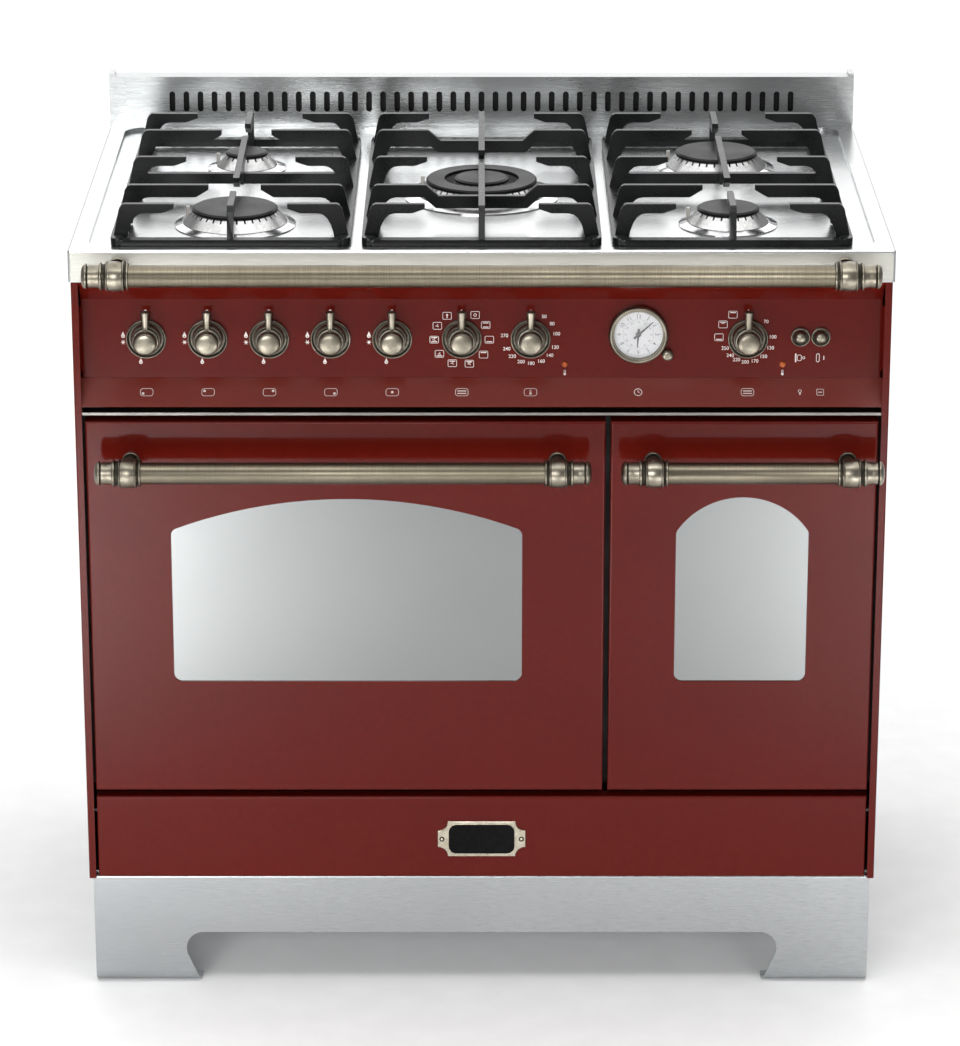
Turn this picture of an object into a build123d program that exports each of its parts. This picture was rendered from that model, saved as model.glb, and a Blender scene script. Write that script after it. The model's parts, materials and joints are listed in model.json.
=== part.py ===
from build123d import *
from dataclasses import dataclass
import math
import os

# A free-standing dual-fuel cooker: a five-burner gas hob over a large and a small electric oven and a storage drawer.
# Millimetres. X runs to the right of someone who faces the cooker, Y to its back and Z up.
# The origin is on the floor, under the middle of the outline, the front rail included.

# Overall size and sheet
WIDTH = 900.0
STANDARD_WIDTH = 900.0      # the doors, supports and controls are laid out for this width and spread with WIDTH
DEPTH = 600.0               # front of the hob's apron to the back edge
HOB_HEIGHT = 887.0          # floor to the rim of the hob
STANDARD_HEIGHT = 887.0     # the doors, ovens and drawer are laid out for this height and grow with HOB_HEIGHT
SHEET = 1.5                 # casing sheet
LINER_SHEET = 1.2           # oven and drawer sheet
EDGE_ROUND = 2.0            # outer bend of the casing sheet
CLEAR = 0.3                 # gap between pieces that pass or rest loosely
RUN = 0.05                  # radial gap of a shaft or pin that turns in its hole

# Heights of the front, from the hob down
APRON_HEIGHT = 36.0
PANEL_HIGH_FACET = 33.0     # slanted facet above the knobs, faces down
PANEL_FACE = 90.0           # upright face that carries the knobs
PANEL_LOW_FACET = 27.0      # slanted facet below the knobs, faces up
VENT_HEIGHT = 17.0
DOOR_HEIGHT = 440.0
FINGER_GAP = 8.0
DRAWER_HEIGHT = 99.0
PLINTH_GAP = 2.0

# Depths of the front
APRON_OVERHANG = 25.0       # apron front to door face
APRON_RETURN = 34.0         # the apron's lower edge is folded in this far
PANEL_TOP_SETBACK = 17.0    # apron front to the control panel's top edge
PANEL_RECESS = 25.0         # door face to the knob face
PANEL_LIP = 10.0
DOOR_TRAY = 30.0
DOOR_EDGE_ROUND = 2.5
GLASS = 4.0
SEAL_DEPTH = 4.7
SIDE_FLANGE = 8.0           # front edge strip of each side panel
SIDE_GAP = 3.0              # strip to door or drawer

# Rail and handles: a bar with turned ends, each on one post
BAR_R = 12.0
COLLAR_R = 16.5
RAIL_STANDOFF = 40.0        # bar axis in front of the apron
RAIL_DROP = 18.0            # bar axis below the hob's rim
RAIL_END_INSET = 18.0
HANDLE_STANDOFF = 45.0      # bar axis in front of the door
HANDLE_DROP = 45.0          # bar axis below the door's top
POST_R = 6.5
ESCUTCHEON_R = 10.0
ESCUTCHEON_DEPTH = 3.0
END_POST = 37.0             # tip of the turned end to its post
END_LENGTH = 51.5           # tip of the turned end to the bar

# Doors and ovens
MAIN_DOOR_WIDTH = 576.5
DOOR_GAP = 5.5
WINDOW_BOTTOM = 133.0       # above the door's lower edge
WINDOW_CORNER = 9.0
WINDOW_LAP = 12.0           # glass behind the panel round the window
INNER_GLASS_RISE = 25.0     # inner glass above the door's lower edge
INNER_GLASS_INSET = 6.0
HINGE_BACK = 14.0           # hinge line behind the door face
HINGE_RISE = 16.0           # hinge line above the door's lower edge
HINGE_PIN_R = 4.0
HINGE_EYE_R = 6.0
BRACKET_R = 5.0
BRACKET_WIDTH = 6.0
ARM_WIDTH = 4.0
ARM_HEIGHT = 60.0
HINGE_SIDE_GAP = 0.5
HINGE_NOTCH = 3.0           # room round a bracket in the door's lower edge
CAVITY_RISE = 48.0          # cavity floor above the door's lower edge
CAVITY_HEIGHT = 345.0
CAVITY_DEPTH = 418.0
LINER_FLANGE = 12.0
SEAL_WIDTH = 10.0
SEAL_INSET = 4.0
LEDGE_WIDTH = 9.0
LEDGE_HEIGHT = 4.0
LEDGE_RISES = (75.0, 150.0, 225.0)
RACK_LEDGE = 1              # the racks lie on the middle ledge
RACK_ROD_R = 3.0
RACK_WIRE_R = 2.0
RACK_WIRE_PITCH = 26.0
RACK_CORNER = 12.0
RACK_FRONT_GAP = 24.0
RACK_DEPTH = 360.0
ELEMENT_R = 3.5
ELEMENT_DROP = 16.0         # heater axis below the cavity roof
ELEMENT_BEND = 22.0
ELEMENT_INSET = 50.0        # heater to the cavity's side and front walls
FAN_R = 70.0
FAN_DEPTH = 18.0
FAN_BLADES = 12
FAN_HUB_R = 14.0
FAN_SHAFT_R = 4.0
FAN_WALL_GAP = 6.0
FAN_COVER_R = 100.0
FAN_COVER_DEPTH = 34.0
FAN_COVER_HOLE_R = 6.0
MOTOR_R = 38.0
MOTOR_LENGTH = 52.0
MOTOR_SOCKET = 24.0

# Drawer
DRAWER_TRAY = 18.0
DRAWER_SIDE_INSET = 15.0    # drawer front's end to the box's side
DRAWER_BOX_RISE = 10.0
DRAWER_BOX_HEIGHT = 61.0
DRAWER_BOX_DEPTH = 460.0
DRAWER_FLANGE = 18.0
RUNNER_LEDGE = 3.0
RUNNER_LEG = 20.0
RUNNER_GAP = 3.0
NAME_PLATE_WIDTH = 100.0
NAME_PLATE_HEIGHT = 43.0
NAME_PLATE_DEPTH = 2.5
NAME_PLATE_EAR = 9.0
NAME_PLATE_EAR_HEIGHT = 18.0
NAME_PLATE_SCOOP = 9.0
NAME_FIELD_WIDTH = 76.0
NAME_FIELD_HEIGHT = 34.0
NAME_FIELD_ROUND = 10.0
NAME_FIELD_DEPTH = 1.0

# Plinth, feet and back
PLINTH_SETBACK = 8.0        # behind the door face
PLINTH_INSET = 4.0          # narrower than the body on each side
PLINTH_RETURN = 60.0
PLINTH_FLANGE = 30.0
PLINTH_ROLL = 15.0
PLINTH_BEND = 3.0
CUTOUT_SHARE = 64.0 / 135.0  # of the plinth's height
CUTOUT_TOP = 351.0          # half width of the cut-out at its top
CUTOUT_BOTTOM = 324.0       # half width of the cut-out at the floor
CUTOUT_ROUND = 20.0
FOOT_R = 22.0
FOOT_PAD = 12.0
FOOT_STEM_R = 6.0
FOOT_NUT_R = 11.0
FOOT_NUT = 8.0
FOOT_INSET = 45.0
FRONT_FOOT_BACK = 120.0
REAR_FOOT_BACK = 535.0
BACK_PANEL_INSET = 25.0
LOUVRE_COUNT = 14
LOUVRE_PITCH = 50.0
LOUVRE_WIDTH = 6.0
LOUVRE_HEIGHT = 60.0
LOUVRE_DROP = 70.0

# Hob and backsplash
WELL_DEPTH = 4.0
WELL_SIDE = 20.0
WELL_FRONT = 15.0
WELL_BACK = 10.0            # well to backsplash
WELL_ROUND = 25.0
HOB_ROUND = 3.0
SPLASH_HEIGHT = 60.0
SPLASH_DEPTH = 25.0
SPLASH_END = 7.0
SPLASH_END_HEIGHT = 64.0
SPLASH_SLOTS = 45
SPLASH_SLOT_PITCH = 17.0
SPLASH_SLOT_WIDTH = 7.0
SPLASH_SLOT_HEIGHT = 25.0
SPLASH_SLOT_RISE = 29.5
SPLASH_RIB_WIDTH = 9.0
SPLASH_RIB_HEIGHT = 53.0
SPLASH_RIB_INSET = 16.0
SPLASH_RIB_DEPTH = 1.0

# Pan supports
SUPPORT_PITCH = 274.0
SUPPORT_MIDDLE = 252.0      # behind the apron's front
SUPPORT_WIDTH = 262.0
SUPPORT_LENGTH = 470.0
SUPPORT_BAR = 12.0
SUPPORT_BAR_LOW = 2.0
SUPPORT_BAR_HIGH = 11.0
SUPPORT_ROUND = 14.0
SUPPORT_FOOT_R = 7.0
SUPPORT_TOP = 46.0
BLADE = 7.0                 # thickness of a finger
TIP = 5.5                   # depth of a finger at its tip
BLADE_DEPTH = 14.0          # depth of a long finger
FINGER_LEAN = 8.0           # the outer edge of a finger leans in this much
FINGER_FOOT = 16.0
FINGER_HOLLOW = 4.0         # how upright the hollow inside a finger's foot starts
FINGER_ROUND = 6.0
BURNER_ROW = 128.0          # burner rows before and behind the middle
END_ROW = 211.0             # short fingers near the ends
SHORT_TIP = 62.0            # tip of a short finger from the support's centre line
BURNER_TIP = 29.0           # tip of a long finger from the burner's axis
MIDDLE_BAR_LOW = 15.0
MIDDLE_BAR_HIGH = 27.0
MIDDLE_BAR = 9.0
DIP = 12.5                  # the centre support's cross bars dip this far
DIP_HALF = 48.0
DIP_RUN = 14.0

# Burners
CUP_DEPTH = 38.0
CUP_EDGE = 1.2
CUP_SEAT = 3.0
CUP_LIP = 1.0
CUP_BODY_INSET = 12.0
CUP_BORE_R = 8.0
CUP_FLOOR = 6.0
HEAD_TOP = 17.0
HEAD_RING = 6.0
HEAD_FLOOR = 9.0
HEAD_SPIGOT = 10.0
HEAD_BORE_R = 5.0
CAP_LAP = 1.5
CAP_HEIGHT = 5.0
CAP_RING = 2.0
CAP_RING_DROP = 4.0
FLAME_SLOT = 2.0
FLAME_SLOT_DEPTH = 4.0
FLAME_SLOT_PITCH = 8.5
RING_HEAD_INNER_R = 44.0
RING_CAP_INNER_R = 42.5
INNER_HEAD_R = 36.0
INNER_CAP_R = 31.0
ELECTRODE_R = 2.2
ELECTRODE_OUT = 5.0
ELECTRODE_LOW = 18.0
ELECTRODE_HIGH = 13.0
ELECTRODE_ANGLE = 150.0

# Gas pipes
TAP_R = 11.0
TAP_LENGTH = 38.5
TAP_BOSS_R = 6.0
TAP_BOSS = 14.0
MANIFOLD = 16.0
MANIFOLD_LEFT = 405.0
INLET_X = 410.0
INLET_PIPE_R = 8.0
INLET_R = 10.48             # half-inch pipe thread
INLET_LENGTH = 20.0
INLET_END = 3.0             # inlet's end before the back edge
INLET_HOLE_R = 13.0
TUBE_R = 4.0
TUBE_STEP = 8.5             # height between crossing tubes
TUBE_TOP = 12.0
TUBE_BEND = 8.0

# Controls
FIRST_KNOB_X = -370.5
KNOB_PITCH = 67.9
FUNCTION_X = -22.0
TEMPERATURE_X = 54.0
SMALL_OVEN_X = 294.0
KNOB_HUB_R = 16.0
KNOB_HUB_DEPTH = 9.0
KNOB_STEP_R = 14.5
KNOB_DOME_R = 13.0
KNOB_REACH = 28.0
KNOB_DOME = 11.0
KNOB_DOME_ROUND = 7.0
KNOB_SHAFT_R = 3.0
KNOB_SHAFT = 20.0
KNOB_GAP = 2.0
PEG_DEPTH = 13.0            # peg axis in front of the panel
PEG_ROOT_R = 3.2
PEG_TIP_R = 4.7
PEG_REACH = 34.5
PEG_START = 11.0
BEZEL_R = 22.0
BEZEL_BORE_R = 17.0
BEZEL_RIM = 5.2
BEZEL_DISH = 1.4
PANEL_HOLE_R = 4.0
SWITCH = 36.0
SWITCH_DEPTH = 28.0
BUTTON_X = 352.0
BUTTON_PITCH = 22.5
BUTTON_RISE = 2.0
BUTTON_R = 6.2
BUTTON_GAP = 4.0
BUTTON_REACH = 9.5
BUTTON_STEM_R = 2.0
BUTTON_STEM = 16.0
BUTTON_SWITCH = 16.0
BUTTON_SWITCH_DEPTH = 24.0
BUTTON_BEZEL_R = 10.6
BUTTON_BEZEL_BORE_R = 6.8
BUTTON_BEZEL_RIM = 5.0
LAMP_X = (92.0, 333.0)
LAMP_DROP = 30.0
LAMP_R = 3.5
LAMP_REACH = 2.5
LAMP_BACK = 12.0
LAMP_FLANGE_R = 5.5
CLOCK_X = 173.0
CLOCK_RISE = 5.0
CLOCK_BEZEL_R = 33.0
CLOCK_DIAL_R = 27.5
CLOCK_RIM = 9.0
CLOCK_DIAL = 2.0
CLOCK_CAN_R = 28.0
CLOCK_CAN = 28.0
CLOCK_GLASS_LOW = 5.5
CLOCK_GLASS = 1.8
HAND_SHEET = 0.6
HOUR_HAND = 2.6             # height of the hour hand over the panel face
MINUTE_HAND = 4.0
HOUR_LENGTH = 15.0
MINUTE_LENGTH = 22.0
HAND_TAIL = 6.5
HAND_WIDTH = 2.4
ARBOR_R = 1.0
SLEEVE_R = 2.0
ARBOR_DEPTH = 7.0
SLEEVE_DEPTH = 3.5
MINUTE_AT_REST = 8.0        # the clock shows eight past six
HOUR_AT_REST = 6.0
CROWN_R = 6.0
CROWN_REACH = 11.0
CROWN_OUT = 39.6            # crown's axis from the clock's
CROWN_ANGLE = 35.0          # below the level
CROWN_STEM_R = 2.0
CROWN_COLLAR_R = 4.0
CROWN_COLLAR = 3.0

# Vent trim
TRIM_DROP = 7.0             # below the control panel
TRIM_HEIGHT = 3.0
TRIM_SETBACK = 2.0          # behind the door face

# Worked out from the sizes above
HALF = WIDTH / 2
SPREAD = WIDTH / STANDARD_WIDTH
RISE = HOB_HEIGHT / STANDARD_HEIGHT
INSIDE = HALF - SHEET
RAIL_REACH = RAIL_STANDOFF + COLLAR_R
APRON_Y = -(DEPTH - RAIL_REACH) / 2
BACK_Y = APRON_Y + DEPTH
FACE_Y = APRON_Y + APRON_OVERHANG
PANEL_Y = FACE_Y + PANEL_RECESS
FRAME_Y = FACE_Y + DOOR_TRAY + GLASS + CLEAR + SEAL_DEPTH
LINER_Y = FRAME_Y + SHEET
CAVITY_BACK_Y = LINER_Y + CAVITY_DEPTH
BACK_PANEL_Y = BACK_Y - BACK_PANEL_INSET
APRON_Z = HOB_HEIGHT - APRON_HEIGHT
PANEL_FACE_TOP = APRON_Z - PANEL_HIGH_FACET
PANEL_FACE_BOTTOM = PANEL_FACE_TOP - PANEL_FACE
PANEL_Z = PANEL_FACE_BOTTOM - PANEL_LOW_FACET
KNOB_Z = (PANEL_FACE_TOP + PANEL_FACE_BOTTOM) / 2
DOOR_TOP = PANEL_Z - VENT_HEIGHT
DOOR_BOTTOM = DOOR_TOP - RISE * DOOR_HEIGHT
DRAWER_TOP = DOOR_BOTTOM - FINGER_GAP
DRAWER_BOTTOM = DRAWER_TOP - RISE * DRAWER_HEIGHT
PLINTH_TOP = DRAWER_BOTTOM - PLINTH_GAP
PAN_TOP = PLINTH_TOP + SHEET
CUTOUT_HEIGHT = PLINTH_TOP * CUTOUT_SHARE
HOB_FLOOR = HOB_HEIGHT - WELL_DEPTH
FRONT_HALF = HALF - SIDE_FLANGE - SIDE_GAP
PIVOT_Y = FACE_Y + HINGE_BACK
PIVOT_Z = DOOR_BOTTOM + HINGE_RISE
CAVITY_FLOOR = DOOR_BOTTOM + CAVITY_RISE
CAVITY_ROOF = CAVITY_FLOOR + RISE * CAVITY_HEIGHT
FAN_Z = (CAVITY_FLOOR + CAVITY_ROOF) / 2
WINDOW_LOW = DOOR_BOTTOM + RISE * WINDOW_BOTTOM
SUPPORT_Y = APRON_Y + SUPPORT_MIDDLE
SUPPORT_X = SPREAD * SUPPORT_PITCH
SUPPORT_HALF = SPREAD * SUPPORT_WIDTH / 2
SPLASH_Y = BACK_Y - SPLASH_DEPTH
MANIFOLD_Y = PANEL_Y + SHEET + TAP_LENGTH
CLOCK_Z = KNOB_Z + CLOCK_RISE
BUTTON_Z = KNOB_Z + BUTTON_RISE
TO_FRONT = Rot(X=90)        # turns a piece made along Z so that it points out of the front


@dataclass(frozen=True)
class Door:
    """One drop-down door and the oven behind it."""
    name: str
    left: float
    right: float
    window_width: float
    window_height: float
    arch_rise: float
    handle_left_inset: float
    handle_right_inset: float
    hinge_inset: float
    cavity_width: float

    @property
    def middle(self):
        return (self.left + self.right) / 2

    @property
    def cavity(self):
        """The cavity's left and right walls."""
        return self.middle - self.cavity_width / 2, self.middle + self.cavity_width / 2

    @property
    def hinges(self):
        """The left face of each hinge bracket."""
        return self.left + self.hinge_inset, self.right - self.hinge_inset - BRACKET_WIDTH


@dataclass(frozen=True)
class Burner:
    """One single-ring burner: its place over the hob and the sizes of its three pieces."""
    x: float
    row: float
    cap_r: float
    head_r: float
    cup_r: float

    @property
    def place(self):
        return Pos(self.x, SUPPORT_Y + self.row, HOB_FLOOR)


MAIN_RIGHT = SPREAD * MAIN_DOOR_WIDTH - FRONT_HALF
MAIN = Door("main_door", -FRONT_HALF, MAIN_RIGHT, SPREAD * 392.0, RISE * 217.0, 37.0, 13.0, 16.5, 45.0,
            SPREAD * 470.0)
SMALL_LEFT = MAIN_RIGHT + DOOR_GAP
SMALL = Door("small_door", SMALL_LEFT, FRONT_HALF, SPREAD * 148.0, RISE * 219.0, 41.0, 10.0, -4.0, 26.0,
             SPREAD * 200.0)
DOORS = (MAIN, SMALL)

FRONT_LEFT = Burner(-SUPPORT_X, -BURNER_ROW, 47.5, 58.0, 67.5)
REAR_LEFT = Burner(-SUPPORT_X, BURNER_ROW, 24.5, 35.0, 46.0)
REAR_RIGHT = Burner(SUPPORT_X, BURNER_ROW, 47.5, 58.0, 67.5)
FRONT_RIGHT = Burner(SUPPORT_X, -BURNER_ROW, 34.5, 45.0, 55.0)
CENTRE = Burner(0.0, 0.0, 63.0, 73.0, 89.0)
SINGLES = (FRONT_LEFT, REAR_LEFT, REAR_RIGHT, FRONT_RIGHT)
# In the order of the gas knobs, from the left
BURNERS = {
    "front_left": FRONT_LEFT,
    "rear_left": REAR_LEFT,
    "rear_right": REAR_RIGHT,
    "front_right": FRONT_RIGHT,
    "centre": CENTRE,
}
GAS_KNOB_X = [SPREAD * (FIRST_KNOB_X + KNOB_PITCH * index) for index in range(len(BURNERS))]
OVEN_KNOB_X = [SPREAD * x for x in (FUNCTION_X, TEMPERATURE_X, SMALL_OVEN_X)]
BUTTONS_X = (SPREAD * BUTTON_X, SPREAD * BUTTON_X + BUTTON_PITCH)
LAMPS_X = [SPREAD * x for x in LAMP_X]
CLOCK_MIDDLE = SPREAD * CLOCK_X
PIPE_X = SPREAD * INLET_X
CROWN_X = CLOCK_MIDDLE + CROWN_OUT * math.cos(math.radians(CROWN_ANGLE))
CROWN_Z = CLOCK_Z - CROWN_OUT * math.sin(math.radians(CROWN_ANGLE))


def block(x, y, z):
    """A box between the low and high value of each pair."""
    spans = (x, y, z)
    centre = [(low + high) / 2 for low, high in spans]
    return Pos(*centre) * Box(*[high - low for low, high in spans])


def rod(axis, radius, span, across):
    """A cylinder along an axis, between two values of it, at the other two coordinates."""
    low, high = span
    turn = {"x": Rot(Y=90), "y": Rot(X=-90), "z": Rot()}[axis]
    centre = list(across)
    centre.insert("xyz".index(axis), (low + high) / 2)
    return Pos(*centre) * turn * Cylinder(radius, high - low)


def prism(axis, outline, span):
    """An outline in the plane square to an axis, drawn out between two values of the axis."""
    low, high = span
    place = "xyz".index(axis)
    points = []
    for first, second in outline:
        point = [first, second]
        point.insert(place, low)
        points.append(tuple(point))
    direction = [0, 0, 0]
    direction[place] = 1
    return extrude(make_face(Polyline(*points, close=True)), high - low, dir=tuple(direction))


def turned(profile):
    """A solid of revolution about Z, from its (radius, height) corners."""
    return revolve(make_face(Polyline(*[(radius, 0, height) for radius, height in profile], close=True)), Axis.Z)


def tube(path, radius):
    """A round bar along a path."""
    section = Plane(path @ 0, z_dir=path % 0) * Circle(radius)
    return sweep(section, path)


def sheet_outline(points, thickness):
    """The outline of a bent sheet whose outer face follows the points and whose thickness lies to their left."""
    inner = []
    for index, point in enumerate(points):
        normals = []
        for start, end in ((index - 1, index), (index, index + 1)):
            if 0 <= start and end < len(points):
                run = (points[end][0] - points[start][0], points[end][1] - points[start][1])
                length = math.hypot(*run)
                normals.append((-run[1] / length, run[0] / length))
        first, last = normals[0], normals[-1]
        scale = thickness / (1 + first[0] * last[0] + first[1] * last[1])
        if len(normals) == 1:
            scale = thickness / 2
        inner.append((point[0] + scale * (first[0] + last[0]), point[1] + scale * (first[1] + last[1])))
    return list(points) + inner[::-1]


def both_sides(piece):
    """A piece and its mirror image on the other side of the cooker."""
    return [piece, mirror(piece, Plane.YZ)]


def side_panels():
    """An outer sheet on each side, folded in at the front and back."""
    upright = (PLINTH_TOP, APRON_Z)
    panel = block((INSIDE, HALF), (FACE_Y, BACK_Y), upright)
    panel += block((HALF - SIDE_FLANGE, HALF), (FACE_Y, FACE_Y + SHEET), upright)
    panel += block((HALF - SIDE_FLANGE, HALF), (BACK_Y - SHEET, BACK_Y), upright)
    corners = panel.edges().filter_by(Axis.Z).group_by(Axis.X)[-1]
    return both_sides(fillet(corners, EDGE_ROUND))


def back_panel():
    """The back cover, with a row of louvres and a hole for the gas inlet."""
    skin = (BACK_PANEL_Y - SHEET, BACK_PANEL_Y)
    panel = block((-INSIDE, INSIDE), skin, (PLINTH_TOP, APRON_Z))
    panel -= rod("y", INLET_HOLE_R, (skin[0] - SHEET, skin[1] + SHEET), (PIPE_X, KNOB_Z))
    louvre_z = KNOB_Z - LOUVRE_DROP
    for index in range(LOUVRE_COUNT):
        x = (index - (LOUVRE_COUNT - 1) / 2) * LOUVRE_PITCH
        height = (louvre_z - LOUVRE_HEIGHT, louvre_z)
        panel -= block((x - LOUVRE_WIDTH / 2, x + LOUVRE_WIDTH / 2), (skin[0] - SHEET, skin[1] + SHEET), height)
    return [panel]


def base_pan():
    """The floor of the body, which the feet and the plinth hang from."""
    return [block((-INSIDE, INSIDE), (FACE_Y + DRAWER_TRAY + SHEET, BACK_PANEL_Y - SHEET), (PLINTH_TOP, PAN_TOP))]


def front_frame():
    """The plate behind the doors, with the two oven mouths."""
    frame = block((-INSIDE, INSIDE), (FRAME_Y, LINER_Y), (DRAWER_TOP + PLINTH_GAP, PANEL_Z + SIDE_FLANGE))
    for door in DOORS:
        frame -= block(door.cavity, (FRAME_Y - SHEET, LINER_Y + SHEET), (CAVITY_FLOOR, CAVITY_ROOF))
    return [frame]


def plinth_cutout():
    """The outline of the space under the plinth, open to the floor."""
    top = CUTOUT_HEIGHT
    outline = Polyline(
        (-CUTOUT_BOTTOM, -SHEET), (-CUTOUT_BOTTOM, 0), (-CUTOUT_TOP, top),
        (CUTOUT_TOP, top), (CUTOUT_BOTTOM, 0), (CUTOUT_BOTTOM, -SHEET), close=True)
    face = make_face(outline)
    corners = face.vertices().group_by(Axis.Y)[-1]
    return fillet(corners, min(CUTOUT_ROUND, top / 3))


def plinth():
    """The steel skirt: rolled in at the floor, folded back at the top and the ends, cut out between two feet."""
    half = HALF - PLINTH_INSET
    front = FACE_Y + PLINTH_SETBACK
    outer = Pos(0, front + PLINTH_FLANGE / 2, PLINTH_TOP / 2) * Box(2 * half, PLINTH_FLANGE, PLINTH_TOP)
    front_edges = outer.faces().sort_by(Axis.Y)[0].edges().filter_by(Axis.X).sort_by(Axis.Z)
    outer = fillet(front_edges[0], PLINTH_ROLL)
    outer = fillet(outer.faces().sort_by(Axis.Y)[0].edges().filter_by(Axis.X).sort_by(Axis.Z)[-1], PLINTH_BEND)
    hollow = Pos(0, front + SHEET + PLINTH_FLANGE / 2, PLINTH_TOP / 2)
    hollow *= Box(2 * half, PLINTH_FLANGE, PLINTH_TOP - 2 * SHEET)
    low_edge = hollow.faces().sort_by(Axis.Y)[0].edges().filter_by(Axis.X).sort_by(Axis.Z)[0]
    skirt = outer - fillet(low_edge, PLINTH_ROLL - SHEET)
    cutout = Plane.XZ.offset(-front - PLINTH_FLANGE - SHEET) * plinth_cutout()
    skirt -= extrude(cutout, PLINTH_FLANGE + 2 * SHEET, dir=(0, -1, 0))
    ends = both_sides(block((half - SHEET, half), (front + PLINTH_ROLL, front + PLINTH_RETURN), (0, PLINTH_TOP)))
    return [skirt + ends[0] + ends[1]]


def adjustable_feet():
    """Four threaded feet with a pad and a lock nut."""
    feet = []
    for back in (FRONT_FOOT_BACK, REAR_FOOT_BACK):
        at = (HALF - FOOT_INSET, APRON_Y + back)
        foot = rod("z", FOOT_R, (0, FOOT_PAD), at)
        foot += rod("z", FOOT_STEM_R, (FOOT_PAD, PLINTH_TOP), at)
        foot += rod("z", FOOT_NUT_R, (PLINTH_TOP - FOOT_NUT, PLINTH_TOP), at)
        feet += both_sides(foot)
    return feet


def hob_top():
    """The steel hob: a pressed well in a raised rim, an apron all round and a hole for each burner."""
    inner = (APRON_Y + SHEET, BACK_Y - SHEET)
    hob = block((-HALF, HALF), (APRON_Y, BACK_Y), (APRON_Z, HOB_HEIGHT))
    rim = hob.faces().sort_by(Axis.Z)[-1].edges() + hob.edges().filter_by(Axis.Z)
    hob = fillet(rim, HOB_ROUND)
    hob -= block((-INSIDE, INSIDE), inner, (APRON_Z + SHEET, HOB_HEIGHT - SHEET))
    hob -= block((-INSIDE, INSIDE), (APRON_Y + APRON_RETURN, inner[1]), (APRON_Z, APRON_Z + SHEET))
    well_front = APRON_Y + WELL_FRONT
    well_back = SPLASH_Y - WELL_BACK
    size = (WIDTH - 2 * WELL_SIDE, well_back - well_front)
    place = Pos(0, (well_front + well_back) / 2, HOB_FLOOR - SHEET)
    hollow = RectangleRounded(*size, WELL_ROUND)
    tray = RectangleRounded(size[0] + 2 * SHEET, size[1] + 2 * SHEET, WELL_ROUND + SHEET)
    hob += place * extrude(tray, WELL_DEPTH)
    hob -= place * Pos(0, 0, SHEET) * extrude(hollow, WELL_DEPTH)
    for burner in BURNERS.values():
        place = burner.place
        hob -= place * Cylinder(burner.head_r - CUP_BODY_INSET + CLEAR, 4 * SHEET)
        hob -= place * electrode_place(burner) * Cylinder(ELECTRODE_R + 2 * CLEAR, 4 * SHEET)
    return [hob]


def backsplash():
    """The upstand along the back: a folded sheet with a row of slots, a pressed rib and a thick end each side."""
    front = (SPLASH_Y, SPLASH_Y + SHEET)
    inside = HALF - SPLASH_END
    splash = block((-inside, inside), (SPLASH_Y, BACK_Y), (HOB_HEIGHT, HOB_HEIGHT + SPLASH_HEIGHT))
    splash -= block((-inside, inside), (front[1], BACK_Y - SHEET), (HOB_HEIGHT, HOB_HEIGHT + SPLASH_HEIGHT - SHEET))
    for end in both_sides(block((inside, HALF), (SPLASH_Y, BACK_Y), (HOB_HEIGHT, HOB_HEIGHT + SPLASH_END_HEIGHT))):
        splash += end
    slot = SlotOverall(SPLASH_SLOT_HEIGHT, SPLASH_SLOT_WIDTH, rotation=90)
    slots = Sketch() + GridLocations(SPLASH_SLOT_PITCH, 0, SPLASH_SLOTS, 1) * slot
    slot_plane = Plane.XZ.offset(-front[1] - SHEET) * Pos(0, HOB_HEIGHT + SPLASH_SLOT_RISE)
    splash -= extrude(slot_plane * slots, 3 * SHEET, dir=(0, -1, 0))
    rib = SlotOverall(SPLASH_RIB_HEIGHT, SPLASH_RIB_WIDTH, rotation=90)
    for x in (SPLASH_RIB_INSET - HALF, HALF - SPLASH_RIB_INSET):
        rib_plane = Plane.XZ.offset(-SPLASH_Y) * Pos(x, HOB_HEIGHT + SPLASH_HEIGHT / 2)
        splash += extrude(rib_plane * rib, SPLASH_RIB_DEPTH, dir=(0, -1, 0))
    return [splash]


def control_panel():
    """The enamelled panel: a bent sheet with two slanted facets and a hole for each control."""
    path = [
        (APRON_Y + PANEL_TOP_SETBACK + PANEL_LIP, APRON_Z), (APRON_Y + PANEL_TOP_SETBACK, APRON_Z),
        (PANEL_Y, PANEL_FACE_TOP), (PANEL_Y, PANEL_FACE_BOTTOM), (FACE_Y, PANEL_Z), (FRAME_Y, PANEL_Z)]
    half = HALF - SIDE_FLANGE - CLEAR
    panel = prism("x", sheet_outline(path, SHEET), (-half, half))
    skin = (PANEL_Y - SHEET, PANEL_Y + 2 * SHEET)
    face_height = (PANEL_FACE_BOTTOM + SIDE_FLANGE, PANEL_FACE_TOP - SIDE_FLANGE)
    for tab in both_sides(block((half, INSIDE), (PANEL_Y, PANEL_Y + SHEET), face_height)):
        panel += tab
    for x in (*GAS_KNOB_X, *OVEN_KNOB_X):
        panel -= rod("y", PANEL_HOLE_R, skin, (x, KNOB_Z))
    for x in BUTTONS_X:
        panel -= rod("y", BUTTON_STEM_R + CLEAR, skin, (x, BUTTON_Z))
    for x in LAMPS_X:
        panel -= rod("y", LAMP_R + CLEAR, skin, (x, KNOB_Z - LAMP_DROP))
    panel -= rod("y", CLOCK_CAN_R + CLEAR, skin, (CLOCK_MIDDLE, CLOCK_Z))
    panel -= rod("y", CROWN_STEM_R + RUN, skin, (CROWN_X, CROWN_Z))
    return [panel]


def vent_trim():
    """The bright strip in the gap over the doors, on a web that reaches back to the front frame."""
    half = HALF - SIDE_FLANGE - CLEAR
    top = PANEL_Z - TRIM_DROP
    front = FACE_Y + TRIM_SETBACK
    strip = block((-half, half), (front, front + SHEET), (top - TRIM_HEIGHT, top))
    return [strip + block((-half, half), (front, FRAME_Y), (top - SHEET, top))]


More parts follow.
